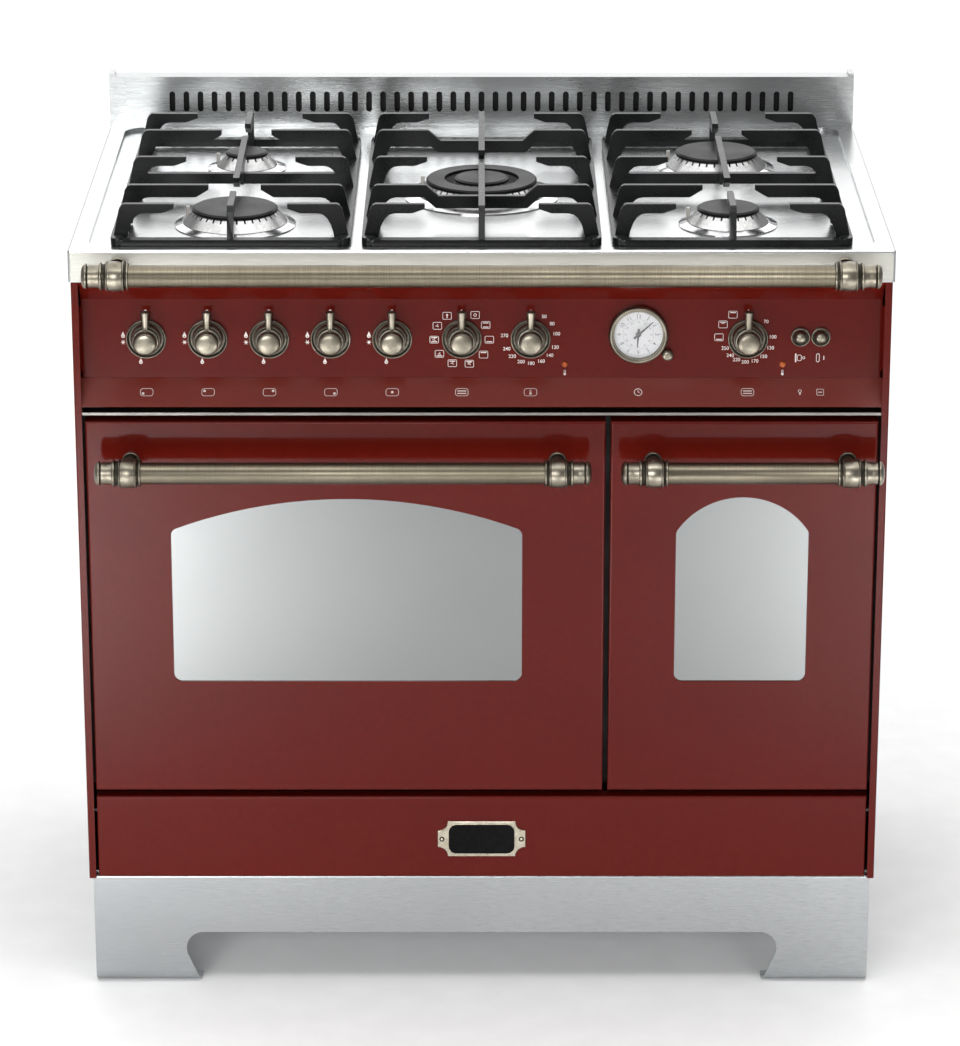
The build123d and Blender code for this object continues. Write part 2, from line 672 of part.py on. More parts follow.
def bar_end():
    """A turned end along Z, from its domed tip at zero to the bar."""
    return turned([
        (0, 0), (9.0, 0.8), (12.5, 3.0), (13.5, 5.5), (13.5, 6.5), (11.0, 6.7), (11.0, 8.0), (BAR_R, 8.2),
        (BAR_R, 20.5), (14.6, 20.7), (15.0, 22.0), (14.6, 23.3), (13.2, 23.6), (14.2, 27.0), (16.0, 27.4),
        (COLLAR_R, 28.0), (COLLAR_R, 29.0), (16.0, 29.6), (16.0, 44.4), (COLLAR_R, 45.0), (COLLAR_R, 46.0),
        (16.0, 46.6), (14.2, 47.0), (13.2, 49.4), (14.6, 49.6), (15.0, 50.5), (14.6, END_LENGTH), (0, END_LENGTH)])


def handle(left, right, seat_y, standoff, z):
    """A bar between two turned ends, each on a post that seats on the face behind it."""
    y = seat_y - standoff
    pieces = [rod("x", BAR_R, (left + END_LENGTH, right - END_LENGTH), (y, z))]
    for tip, turn, post_x in ((left, Rot(Y=90), left + END_POST), (right, Rot(Y=-90), right - END_POST)):
        end = Pos(tip, y, z) * turn * bar_end()
        end += rod("y", POST_R, (y, seat_y), (post_x, z))
        end += rod("y", ESCUTCHEON_R, (seat_y - ESCUTCHEON_DEPTH, seat_y), (post_x, z))
        pieces.append(end)
    return pieces


def door_handle(door):
    """The handle of one door."""
    left = door.left + door.handle_left_inset
    right = door.right - door.handle_right_inset
    return handle(left, right, FACE_Y, HANDLE_STANDOFF, DOOR_TOP - HANDLE_DROP)


def window_outline(door):
    """The arched window of one door, as a face in X and Z."""
    half = door.window_width / 2
    low = WINDOW_LOW
    peak = low + door.window_height
    shoulder = peak - door.arch_rise
    left, right = door.middle - half, door.middle + half
    outline = Polyline((left, shoulder), (left, low), (right, low), (right, shoulder))
    arch = ThreePointArc((right, shoulder), (door.middle, peak), (left, shoulder))
    return fillet(make_face([outline, arch]).vertices(), WINDOW_CORNER)


def door_panel(door):
    """The enamelled tray of one door: window opening, folded edges, slots for the hinge brackets."""
    across = (door.left, door.right)
    tray = block(across, (FACE_Y, FACE_Y + DOOR_TRAY), (DOOR_BOTTOM, DOOR_TOP))
    tray = fillet(tray.faces().sort_by(Axis.Y)[0].edges(), DOOR_EDGE_ROUND)
    inside = (across[0] + SHEET, across[1] - SHEET)
    tray -= block(inside, (FACE_Y + SHEET, FACE_Y + DOOR_TRAY), (DOOR_BOTTOM + SHEET, DOOR_TOP - SHEET))
    window = Plane.XZ.offset(-FACE_Y - 2 * SHEET) * window_outline(door)
    tray -= extrude(window, 3 * SHEET, dir=(0, -1, 0))
    for x in door.hinges:
        notch = (x - HINGE_NOTCH, x + BRACKET_WIDTH + HINGE_NOTCH)
        depth = (PIVOT_Y - BRACKET_R - HINGE_NOTCH, FACE_Y + DOOR_TRAY)
        tray -= block(notch, depth, (DOOR_BOTTOM, DOOR_BOTTOM + SHEET))
    return [tray]


def door_window(door):
    """The mirror pane behind one door's window."""
    half = door.window_width / 2 + WINDOW_LAP
    low = WINDOW_LOW
    height = (low - WINDOW_LAP, low + door.window_height + WINDOW_LAP)
    return [block((door.middle - half, door.middle + half), (FACE_Y + SHEET, FACE_Y + SHEET + GLASS), height)]


def door_inner_glass(door):
    """The pane that closes the back of one door."""
    across = (door.left + INNER_GLASS_INSET, door.right - INNER_GLASS_INSET)
    height = (DOOR_BOTTOM + INNER_GLASS_RISE, DOOR_TOP)
    return [block(across, (FACE_Y + DOOR_TRAY, FACE_Y + DOOR_TRAY + GLASS), height)]


def door_hinges(door):
    """The two hinge arms of one door, each with an eye for its pin."""
    arms = []
    for x in door.hinges:
        side = x + BRACKET_WIDTH + HINGE_SIDE_GAP
        across = (side, side + ARM_WIDTH)
        arm = block(across, (FACE_Y + SHEET, PIVOT_Y), (PIVOT_Z, PIVOT_Z + ARM_HEIGHT))
        arm += block(across, (FACE_Y + SHEET, PIVOT_Y), (PIVOT_Z - HINGE_EYE_R, PIVOT_Z))
        arm += rod("x", HINGE_EYE_R, across, (PIVOT_Y, PIVOT_Z))
        arms.append(arm - rod("x", HINGE_PIN_R + RUN, across, (PIVOT_Y, PIVOT_Z)))
    return arms


def hinge_brackets():
    """The four fixed brackets on the front frame, each with the pin that a door turns on."""
    brackets = []
    for door in DOORS:
        for x in door.hinges:
            across = (x, x + BRACKET_WIDTH)
            bracket = block(across, (PIVOT_Y, FRAME_Y), (PIVOT_Z - BRACKET_R, PIVOT_Z + BRACKET_R))
            bracket += rod("x", BRACKET_R, across, (PIVOT_Y, PIVOT_Z))
            pin = (x, across[1] + 2 * HINGE_SIDE_GAP + ARM_WIDTH)
            brackets.append(bracket + rod("x", HINGE_PIN_R, pin, (PIVOT_Y, PIVOT_Z)))
    return brackets


def oven_liner(door):
    """One enamelled cavity: five walls, a flange on the front frame and three pairs of ledges."""
    left, right = door.cavity
    depth = (LINER_Y, CAVITY_BACK_Y)
    wall = LINER_SHEET
    shell = block((left - wall, right + wall), (depth[0], depth[1] + wall), (CAVITY_FLOOR - wall, CAVITY_ROOF + wall))
    flange = LINER_FLANGE
    height = (CAVITY_FLOOR - flange, CAVITY_ROOF + flange)
    shell += block((left - flange, right + flange), (LINER_Y, LINER_Y + wall), height)
    shell -= block((left, right), depth, (CAVITY_FLOOR, CAVITY_ROOF))
    for rise in LEDGE_RISES:
        top = CAVITY_FLOOR + RISE * rise
        ledge = (top - LEDGE_HEIGHT, top)
        run = (LINER_Y + RACK_FRONT_GAP, LINER_Y + RACK_FRONT_GAP + RACK_DEPTH)
        shell += block((left, left + LEDGE_WIDTH), run, ledge)
        shell += block((right - LEDGE_WIDTH, right), run, ledge)
    return shell


def main_oven_liner():
    """The main cavity, with a hole in its back for the fan's shaft."""
    hole = rod("y", FAN_SHAFT_R + 1.0, (CAVITY_BACK_Y - SHEET, CAVITY_BACK_Y + 2 * SHEET), (MAIN.middle, FAN_Z))
    return [oven_liner(MAIN) - hole]


def oven_gaskets():
    """The rope seal round each oven mouth, on the front frame."""
    seals = []
    for door in DOORS:
        left, right = door.cavity
        outer = SEAL_INSET + SEAL_WIDTH
        depth = (FRAME_Y - SEAL_DEPTH, FRAME_Y)
        seal = block((left - outer, right + outer), depth, (CAVITY_FLOOR - outer, CAVITY_ROOF + outer))
        gap = SEAL_INSET
        seal -= block((left - gap, right + gap), depth, (CAVITY_FLOOR - gap, CAVITY_ROOF + gap))
        seals.append(seal)
    return seals


def oven_racks():
    """A wire rack in each oven, on the middle pair of ledges."""
    racks = []
    for door in DOORS:
        left, right = door.cavity
        z = CAVITY_FLOOR + RISE * LEDGE_RISES[RACK_LEDGE] + CLEAR + RACK_ROD_R
        reach = RACK_ROD_R + 2 * CLEAR
        width = right - left - 2 * reach
        depth = RACK_DEPTH - 2 * RACK_ROD_R
        middle_y = LINER_Y + RACK_FRONT_GAP + RACK_DEPTH / 2
        frame = RectangleRounded(width + 2 * RACK_ROD_R, depth + 2 * RACK_ROD_R, RACK_CORNER + RACK_ROD_R)
        frame -= RectangleRounded(width - 2 * RACK_ROD_R, depth - 2 * RACK_ROD_R, RACK_CORNER - RACK_ROD_R)
        rack = Pos(door.middle, middle_y, z - RACK_ROD_R) * extrude(frame, 2 * RACK_ROD_R)
        wires = int((width - 2 * RACK_CORNER) // RACK_WIRE_PITCH)
        for index in range(wires):
            x = door.middle + (index - (wires - 1) / 2) * RACK_WIRE_PITCH
            rack += rod("y", RACK_WIRE_R, (middle_y - depth / 2, middle_y + depth / 2), (x, z))
        racks.append(rack)
    return racks


def heating_elements():
    """The grill heaters under the cavity roofs: a double loop in the main oven, a single one in the small oven."""
    z = CAVITY_ROOF - ELEMENT_DROP
    front = LINER_Y + ELEMENT_INSET
    heaters = []
    for door, loops in ((MAIN, 2), (SMALL, 1)):
        left, right = door.cavity
        runs = 2 * loops
        step = (right - left - 2 * ELEMENT_INSET) / (runs - 1)
        points = []
        for run in range(runs):
            x = left + ELEMENT_INSET + run * step
            inner_back = CAVITY_BACK_Y - ELEMENT_INSET
            ends = (CAVITY_BACK_Y if run == 0 else inner_back, front)
            if run % 2:
                ends = (front, CAVITY_BACK_Y if run == runs - 1 else inner_back)
            points += [(x, y, z) for y in ends]
        heaters.append(tube(FilletPolyline(*points, radius=ELEMENT_BEND), ELEMENT_R))
    return heaters


def convection_fan():
    """The main oven's fan: a hub on a shaft, a back plate and straight blades."""
    back = CAVITY_BACK_Y - FAN_WALL_GAP
    axis = (MAIN.middle, FAN_Z)
    fan = rod("y", FAN_R, (back - SHEET, back), axis)
    fan += rod("y", FAN_HUB_R, (back - FAN_DEPTH, back), axis)
    fan += rod("y", FAN_SHAFT_R, (back, CAVITY_BACK_Y + LINER_SHEET + MOTOR_SOCKET), axis)
    for index in range(FAN_BLADES):
        blade = block((FAN_HUB_R / 2, FAN_R - SHEET), (back - FAN_DEPTH, back - SHEET / 2), (-SHEET / 2, SHEET / 2))
        blade = Rot(Y=360 / FAN_BLADES * index) * blade
        fan += Pos(axis[0], 0, axis[1]) * blade
    return [fan]


def fan_cover():
    """The dished cover over the fan, with rings of air holes."""
    axis = (MAIN.middle, FAN_Z)
    front = CAVITY_BACK_Y - FAN_COVER_DEPTH
    cover = rod("y", FAN_COVER_R, (front, CAVITY_BACK_Y), axis)
    cover = fillet(cover.faces().sort_by(Axis.Y)[0].edges(), 2 * SHEET)
    cover -= rod("y", FAN_COVER_R - SHEET, (front + SHEET, CAVITY_BACK_Y), axis)
    for ring in range(1, 5):
        for index in range(6 * ring):
            angle = 2 * math.pi * index / (6 * ring)
            reach = 3 * FAN_COVER_HOLE_R * ring
            at = (axis[0] + reach * math.cos(angle), axis[1] + reach * math.sin(angle))
            cover -= rod("y", FAN_COVER_HOLE_R, (front - SHEET, front + 2 * SHEET), at)
    return [cover]


def fan_motor():
    """The motor behind the main cavity, with the socket that the fan's shaft turns in."""
    back = CAVITY_BACK_Y + LINER_SHEET
    axis = (MAIN.middle, FAN_Z)
    motor = rod("y", MOTOR_R, (back, back + MOTOR_LENGTH), axis)
    motor -= rod("y", FAN_SHAFT_R + RUN, (back, back + MOTOR_SOCKET + CLEAR), axis)
    return [motor]


def electrode_place(burner):
    """Where a burner's spark electrode stands, from the burner's axis."""
    angle = math.radians(ELECTRODE_ANGLE)
    reach = burner.head_r + ELECTRODE_OUT
    return Pos(reach * math.cos(angle), reach * math.sin(angle), 0)


def burner_cups():
    """The five cups: a flange that lies on the hob, a seat for the head and a gas chamber below."""
    cups = []
    for burner in BURNERS.values():
        body_r = burner.head_r - CUP_BODY_INSET
        chamber = CUP_FLOOR - CUP_DEPTH
        cup = turned([
            (0, -CUP_DEPTH), (body_r, -CUP_DEPTH), (body_r, 0), (burner.cup_r, 0), (burner.cup_r, CUP_EDGE),
            (burner.head_r + CUP_LIP, CUP_SEAT + CUP_LIP), (burner.head_r + CLEAR, CUP_SEAT + CUP_LIP),
            (burner.head_r + CLEAR, CUP_SEAT), (CUP_BORE_R, CUP_SEAT), (CUP_BORE_R, chamber), (0, chamber)])
        cup -= electrode_place(burner) * Cylinder(ELECTRODE_R, 4 * CUP_SEAT)
        cups.append(burner.place * cup)
    return cups


def flame_slots(radius, top):
    """Radial slots round a rim, cut down from its top."""
    count = round(2 * math.pi * radius / FLAME_SLOT_PITCH)
    length = 3 * HEAD_RING
    slot = Pos(radius, 0, top) * Box(length, FLAME_SLOT, 2 * FLAME_SLOT_DEPTH)
    return [Rot(Z=360 / count * index) * slot for index in range(count)]


def slotted(head, radius, top):
    """A flame head with its slots."""
    for slot in flame_slots(radius, top):
        head -= slot
    return head


def plain_head(head_r, cap_r, top):
    """A flame head: a cone with a slotted rim, a hollow under the cap and a spigot in the cup."""
    rim_r = cap_r - CAP_LAP
    spigot_r = CUP_BORE_R - CLEAR
    head = turned([
        (HEAD_BORE_R, -HEAD_SPIGOT), (spigot_r, -HEAD_SPIGOT), (spigot_r, CUP_SEAT), (head_r, CUP_SEAT),
        (head_r, CUP_SEAT + CAP_LAP), (rim_r, top), (rim_r - HEAD_RING, top), (rim_r - HEAD_RING, HEAD_FLOOR),
        (HEAD_BORE_R, HEAD_FLOOR)])
    return slotted(head, rim_r, top)


def burner_heads():
    """The flame heads: one for each single burner, and a ring and a middle one for the triple burner."""
    heads = [burner.place * plain_head(burner.head_r, burner.cap_r, HEAD_TOP) for burner in SINGLES]
    rim_r = CENTRE.cap_r - CAP_LAP
    inner_rim = RING_HEAD_INNER_R + HEAD_RING
    ring = turned([
        (RING_HEAD_INNER_R, CUP_SEAT), (CENTRE.head_r, CUP_SEAT), (CENTRE.head_r, CUP_SEAT + CAP_LAP),
        (rim_r, HEAD_TOP), (rim_r - HEAD_RING, HEAD_TOP), (rim_r - HEAD_RING, HEAD_FLOOR),
        (inner_rim, HEAD_FLOOR), (inner_rim, HEAD_TOP), (RING_HEAD_INNER_R, HEAD_TOP)])
    heads.append(CENTRE.place * slotted(ring, rim_r, HEAD_TOP))
    heads.append(CENTRE.place * plain_head(INNER_HEAD_R, INNER_CAP_R, HEAD_TOP + CAP_LAP))
    return heads


def round_cap(cap_r, low):
    """A burner cap: a shallow dome with a ring that drops into the head's hollow."""
    ring_r = cap_r - CAP_LAP - HEAD_RING - CLEAR
    cap = turned([
        (0, low), (ring_r - CAP_RING, low), (ring_r - CAP_RING, low - CAP_RING_DROP), (ring_r, low - CAP_RING_DROP),
        (ring_r, low), (cap_r, low), (cap_r, low + CAP_HEIGHT / 2), (cap_r - CAP_HEIGHT / 2, low + CAP_HEIGHT - 1),
        (cap_r / 2, low + CAP_HEIGHT - CLEAR), (0, low + CAP_HEIGHT)])
    return cap


def burner_caps():
    """The caps: one for each single burner, and a ring and a middle one for the triple burner."""
    caps = [burner.place * round_cap(burner.cap_r, HEAD_TOP) for burner in SINGLES]
    ring = turned([
        (RING_CAP_INNER_R, HEAD_TOP), (CENTRE.cap_r, HEAD_TOP), (CENTRE.cap_r, HEAD_TOP + CAP_HEIGHT / 2),
        (CENTRE.cap_r - CAP_LAP, HEAD_TOP + CAP_HEIGHT - 1), (RING_CAP_INNER_R, HEAD_TOP + CAP_HEIGHT - 1)])
    caps.append(CENTRE.place * ring)
    caps.append(CENTRE.place * round_cap(INNER_CAP_R, HEAD_TOP + CAP_LAP))
    return caps


def spark_electrodes():
    """One electrode beside each burner, through the cup's flange."""
    pins = []
    for burner in BURNERS.values():
        pin = rod("z", ELECTRODE_R, (-ELECTRODE_LOW, ELECTRODE_HIGH), (0, 0))
        pins.append(burner.place * electrode_place(burner) * pin)
    return pins


def finger_outline(outer, tip, depth):
    """A finger from the frame's bar to its tip: (distance from the middle, height) corners."""
    return [
        (outer, SUPPORT_BAR_LOW), (outer - FINGER_LEAN, SUPPORT_TOP - FINGER_ROUND),
        (outer - FINGER_LEAN - FINGER_ROUND / 2, SUPPORT_TOP - CAP_LAP),
        (outer - FINGER_LEAN - FINGER_ROUND, SUPPORT_TOP), (tip, SUPPORT_TOP), (tip, SUPPORT_TOP - TIP),
        (tip + DIP_RUN, SUPPORT_TOP - depth), *foot_hollow(outer, depth)]


def foot_hollow(outer, depth):
    """The curve under a finger, from its arm down the inside of its foot."""
    arm = Vector(outer - 2.2 * FINGER_FOOT, SUPPORT_TOP - depth)
    knee = Vector(outer - FINGER_FOOT - FINGER_HOLLOW, SUPPORT_TOP - depth)
    foot = Vector(outer - FINGER_FOOT, SUPPORT_BAR_LOW)
    points = []
    for share in (0.0, 0.2, 0.4, 0.6, 0.8, 1.0):
        point = arm * (1 - share) ** 2 + knee * (2 * share * (1 - share)) + foot * share ** 2
        points.append((point.X, point.Y))
    return points


def blades_across(rows, outline):
    """Fingers on both sides, square to the cooker's front, at each distance from the support's middle."""
    pieces = []
    for row in rows:
        for side in (-1, 1):
            points = [(side * reach, height) for reach, height in outline]
            pieces.append(prism("y", points, (row - BLADE / 2, row + BLADE / 2)))
    return pieces


def blades_along(outline):
    """A front and a rear finger along the support's centre line."""
    pieces = []
    for side in (-1, 1):
        pieces.append(prism("x", [(side * reach, height) for reach, height in outline], (-BLADE / 2, BLADE / 2)))
    return pieces


def support_frame():
    """The low frame that every pan support stands on: a rounded ring of bar on four feet."""
    ring = RectangleRounded(2 * SUPPORT_HALF, SUPPORT_LENGTH, SUPPORT_ROUND)
    ring -= RectangleRounded(2 * (SUPPORT_HALF - SUPPORT_BAR), SUPPORT_LENGTH - 2 * SUPPORT_BAR, SUPPORT_BAR / 4)
    frame = Pos(0, 0, SUPPORT_BAR_LOW) * extrude(ring, SUPPORT_BAR_HIGH - SUPPORT_BAR_LOW)
    across = SUPPORT_HALF - SUPPORT_FOOT_R - 1
    along = SUPPORT_LENGTH / 2 - SUPPORT_FOOT_R - 1
    for x in (-across, across):
        for y in (-along, along):
            frame += rod("z", SUPPORT_FOOT_R, (0, SUPPORT_BAR_HIGH + CAP_LAP), (x, y))
    return frame


def pan_support(x, blades):
    """A pan support at its place on the hob, from its blades and the common frame."""
    support = support_frame()
    for blade in blades:
        support += blade
    return [Pos(x, SUPPORT_Y, HOB_FLOOR) * support]


def side_blades():
    """The fingers of a left or right support, over two burners, and its raised middle bar."""
    outer = SUPPORT_HALF - 1
    end = SUPPORT_LENGTH / 2 - 1
    short = finger_outline(outer, SHORT_TIP, TIP + CAP_HEIGHT)
    blades = blades_across((-END_ROW, 0, END_ROW), short)
    blades += blades_across((-BURNER_ROW, BURNER_ROW), finger_outline(outer, BURNER_TIP, BLADE_DEPTH))
    blades += blades_along(finger_outline(end, BURNER_ROW + BURNER_TIP, BLADE_DEPTH))
    bar = block((-outer + BLADE, outer - BLADE), (-MIDDLE_BAR / 2, MIDDLE_BAR / 2), (MIDDLE_BAR_LOW, MIDDLE_BAR_HIGH))
    tip = BURNER_ROW - BURNER_TIP
    root = MIDDLE_BAR + BLADE
    middle = [
        (-tip, SUPPORT_TOP), (-tip, SUPPORT_TOP - TIP), (DIP_RUN - tip, SUPPORT_TOP - BLADE_DEPTH),
        (-root, SUPPORT_TOP - BLADE_DEPTH), (-MIDDLE_BAR, MIDDLE_BAR_LOW), (MIDDLE_BAR, MIDDLE_BAR_LOW),
        (root, SUPPORT_TOP - BLADE_DEPTH), (tip - DIP_RUN, SUPPORT_TOP - BLADE_DEPTH),
        (tip, SUPPORT_TOP - TIP), (tip, SUPPORT_TOP)]
    blades += [bar, prism("x", middle, (-BLADE / 2, BLADE / 2))]
    return blades


def centre_blades():
    """The fingers of the centre support, over the triple burner, and its two cross bars that dip in the middle."""
    outer = SUPPORT_HALF - 1
    end = SUPPORT_LENGTH / 2 - 1
    blades = blades_across((-END_ROW, 0, END_ROW), finger_outline(outer, SHORT_TIP, TIP + CAP_HEIGHT))
    upper = finger_outline(outer, DIP_HALF + DIP_RUN, BLADE_DEPTH)[:5]
    low_top = SUPPORT_TOP - DIP
    half = upper + [
        (DIP_HALF, low_top), (0, low_top), (0, low_top - BLADE_DEPTH), (DIP_HALF + TIP / 2, low_top - BLADE_DEPTH),
        (DIP_HALF + TIP / 2 + DIP_RUN, SUPPORT_TOP - BLADE_DEPTH), *foot_hollow(outer, BLADE_DEPTH)]
    blades += blades_across((-BURNER_ROW, BURNER_ROW), half)
    return blades + blades_along(finger_outline(end, BURNER_TIP, BLADE_DEPTH))


def gas_manifold():
    """The manifold bar with its inlet pipe, the five taps on it and a tube from each tap to its burner."""
    bar_y = (MANIFOLD_Y, MANIFOLD_Y + MANIFOLD)
    height = (KNOB_Z - MANIFOLD / 2, KNOB_Z + MANIFOLD / 2)
    bar = block((-SPREAD * MANIFOLD_LEFT, PIPE_X + MANIFOLD / 2), bar_y, height)
    inlet_end = BACK_Y - INLET_END
    inlet = rod("y", INLET_PIPE_R, (bar_y[1], inlet_end), (PIPE_X, KNOB_Z))
    inlet += rod("y", INLET_R, (inlet_end - INLET_LENGTH, inlet_end), (PIPE_X, KNOB_Z))
    pieces = [bar, inlet]
    tap_y = (PANEL_Y + SHEET, MANIFOLD_Y)
    outlet_y = (tap_y[0] + tap_y[1]) / 2
    tube_low = KNOB_Z + TAP_BOSS
    tube_high = HOB_FLOOR - CUP_DEPTH
    for index, (x, burner) in enumerate(zip(GAS_KNOB_X, BURNERS.values())):
        tap = rod("y", TAP_R, tap_y, (x, KNOB_Z))
        tap += rod("z", TAP_BOSS_R, (KNOB_Z, tube_low), (x, outlet_y))
        pieces.append(tap - rod("y", KNOB_SHAFT_R + RUN, (tap_y[0], PANEL_Y + KNOB_SHAFT + 1), (x, KNOB_Z)))
        level = tube_high - TUBE_TOP - index * TUBE_STEP
        burner_y = SUPPORT_Y + burner.row
        route = FilletPolyline(
            (x, outlet_y, tube_low), (x, outlet_y, level), (burner.x, burner_y, level),
            (burner.x, burner_y, tube_high), radius=TUBE_BEND)
        pieces.append(tube(route, TUBE_R))
    return pieces


def oven_switches():
    """The function switch, the two thermostats and the two push switches behind the panel."""
    front = PANEL_Y + SHEET
    bodies = []
    for x in OVEN_KNOB_X:
        half = SWITCH / 2
        body = block((x - half, x + half), (front, front + SWITCH_DEPTH), (KNOB_Z - half, KNOB_Z + half))
        bodies.append(body - rod("y", KNOB_SHAFT_R + RUN, (front, PANEL_Y + KNOB_SHAFT + 1), (x, KNOB_Z)))
    for x in BUTTONS_X:
        half = BUTTON_SWITCH / 2
        body = block((x - half, x + half), (front, front + BUTTON_SWITCH_DEPTH), (BUTTON_Z - half, BUTTON_Z + half))
        socket = (front, PANEL_Y + BUTTON_STEM + BUTTON_GAP)
        bodies.append(body - rod("y", BUTTON_STEM_R + RUN, socket, (x, BUTTON_Z)))
    return bodies


def knob(x):
    """A knob with its shaft: a stepped hub, a domed front and a radial peg that points up at rest."""
    shape = rod("z", KNOB_SHAFT_R, (-KNOB_SHAFT, KNOB_GAP), (0, 0))
    front = KNOB_REACH - KNOB_DOME
    shape += turned([
        (0, KNOB_GAP), (KNOB_HUB_R, KNOB_GAP), (KNOB_HUB_R, KNOB_HUB_DEPTH), (KNOB_STEP_R, KNOB_HUB_DEPTH + CAP_LAP),
        (KNOB_STEP_R, front - CAP_LAP), (KNOB_DOME_R, front), (0, front)])
    dome = rod("z", KNOB_DOME_R, (front, KNOB_REACH), (0, 0))
    shape += fillet(dome.faces().sort_by(Axis.Z)[-1].edges(), KNOB_DOME_ROUND)
    peg = Cone(PEG_ROOT_R, PEG_TIP_R, PEG_REACH - PEG_START)
    peg = fillet(peg.faces().sort_by(Axis.Z)[-1].edges(), CAP_LAP / 2)
    shape += Pos(0, (PEG_REACH + PEG_START) / 2, PEG_DEPTH) * Rot(X=-90) * peg
    return [Pos(x, PANEL_Y, KNOB_Z) * TO_FRONT * shape]


def bezel(radius, bore_r, rim):
    """A dished ring with a raised rim."""
    return turned([
        (bore_r, 0), (radius, 0), (radius, rim - 0.7), (radius - 0.8, rim), (radius - 1.6, rim - 0.7),
        (radius - 3.0, BEZEL_DISH), (bore_r, BEZEL_DISH)])


def control_bezels():
    """The bezel behind each knob and round each button."""
    rings = []
    for x in (*GAS_KNOB_X, *OVEN_KNOB_X):
        rings.append(Pos(x, PANEL_Y, KNOB_Z) * TO_FRONT * bezel(BEZEL_R, BEZEL_BORE_R, BEZEL_RIM))
    for x in BUTTONS_X:
        ring = bezel(BUTTON_BEZEL_R, BUTTON_BEZEL_BORE_R, BUTTON_BEZEL_RIM)
        rings.append(Pos(x, PANEL_Y, BUTTON_Z) * TO_FRONT * ring)
    return rings


def button(x):
    """A domed push button with its stem."""
    dome = rod("z", BUTTON_R, (BUTTON_GAP, BUTTON_REACH), (0, 0))
    dome = fillet(dome.faces().sort_by(Axis.Z)[-1].edges(), BUTTON_R / 2)
    dome += rod("z", BUTTON_STEM_R, (-BUTTON_STEM, BUTTON_GAP), (0, 0))
    return [Pos(x, PANEL_Y, BUTTON_Z) * TO_FRONT * dome]


def pilot_lamps():
    """Two lamps with a domed lens, held by a flange behind the panel."""
    lamps = []
    for x in LAMPS_X:
        lens = rod("z", LAMP_R, (-SHEET, LAMP_REACH), (0, 0))
        lens = fillet(lens.faces().sort_by(Axis.Z)[-1].edges(), LAMP_REACH * 0.8)
        lens += rod("z", LAMP_FLANGE_R, (-LAMP_BACK, -SHEET), (0, 0))
        lamps.append(Pos(x, PANEL_Y, KNOB_Z - LAMP_DROP) * TO_FRONT * lens)
    return lamps


CLOCK_PLACE = Pos(CLOCK_MIDDLE, PANEL_Y, CLOCK_Z) * TO_FRONT


def clock_body():
    """The clock's can, dial and bezel, bored for the two hands."""
    sleeve_end = CLOCK_DIAL - CLEAR - SLEEVE_DEPTH - HOUR_HAND
    can = turned([
        (0, -CLOCK_CAN), (CLOCK_CAN_R, -CLOCK_CAN), (CLOCK_CAN_R, 0), (CLOCK_BEZEL_R, 0),
        (CLOCK_BEZEL_R, CLOCK_RIM * 0.6), (CLOCK_BEZEL_R - 2, CLOCK_RIM), (CLOCK_DIAL_R + 1, CLOCK_RIM),
        (CLOCK_DIAL_R, CLOCK_RIM - 1), (CLOCK_DIAL_R, CLOCK_DIAL), (0, CLOCK_DIAL)])
    can -= rod("z", SLEEVE_R + RUN, (sleeve_end, CLOCK_DIAL), (0, 0))
    can -= rod("z", ARBOR_R + RUN, (-ARBOR_DEPTH - 1, CLOCK_DIAL), (0, 0))
    return [CLOCK_PLACE * can]


def clock_glass():
    """The clock's glass, inside the bezel."""
    low = CLOCK_GLASS_LOW
    return [CLOCK_PLACE * rod("z", CLOCK_DIAL_R - CLEAR / 3, (low, low + CLOCK_GLASS), (0, 0))]


def hand(length, low, hub_r, angle):
    """A tapered hand on a round hub, turned clockwise from twelve."""
    half = HAND_WIDTH / 2
    outline = [(-half, -HAND_TAIL), (half, -HAND_TAIL), (half, 0), (half / 3, length), (-half / 3, length), (-half, 0)]
    blade = prism("z", outline, (low, low + HAND_SHEET))
    blade += rod("z", hub_r, (low, low + HAND_SHEET), (0, 0))
    return Rot(Z=-angle) * blade


def clock_minute_hand():
    """The minute hand with its arbor."""
    shape = hand(MINUTE_LENGTH, MINUTE_HAND, SLEEVE_R, 6 * MINUTE_AT_REST)
    return [CLOCK_PLACE * (shape + rod("z", ARBOR_R, (-ARBOR_DEPTH, MINUTE_HAND), (0, 0)))]


def clock_hour_hand():
    """The hour hand with its sleeve round the minute hand's arbor."""
    shape = hand(HOUR_LENGTH, HOUR_HAND, SLEEVE_R + 1, 30 * (HOUR_AT_REST + MINUTE_AT_REST / 60))
    shape += rod("z", SLEEVE_R, (CLOCK_DIAL - SLEEVE_DEPTH - HOUR_HAND, HOUR_HAND), (0, 0))
    shape -= rod("z", ARBOR_R + RUN, (-ARBOR_DEPTH, MINUTE_HAND), (0, 0))
    return [CLOCK_PLACE * shape]


def clock_crown():
    """The setting crown beside the clock, on a stem through the panel with a collar behind it."""
    knob_shape = rod("z", CROWN_R, (CLEAR, CROWN_REACH), (0, 0))
    knob_shape = fillet(knob_shape.faces().sort_by(Axis.Z)[-1].edges(), CROWN_R / 3)
    knob_shape += rod("z", CROWN_STEM_R, (-SHEET - CLEAR - CROWN_COLLAR, CLEAR), (0, 0))
    knob_shape += rod("z", CROWN_COLLAR_R, (-SHEET - CLEAR - CROWN_COLLAR, -SHEET - CLEAR), (0, 0))
    return [Pos(CROWN_X, PANEL_Y, CROWN_Z) * TO_FRONT * knob_shape]


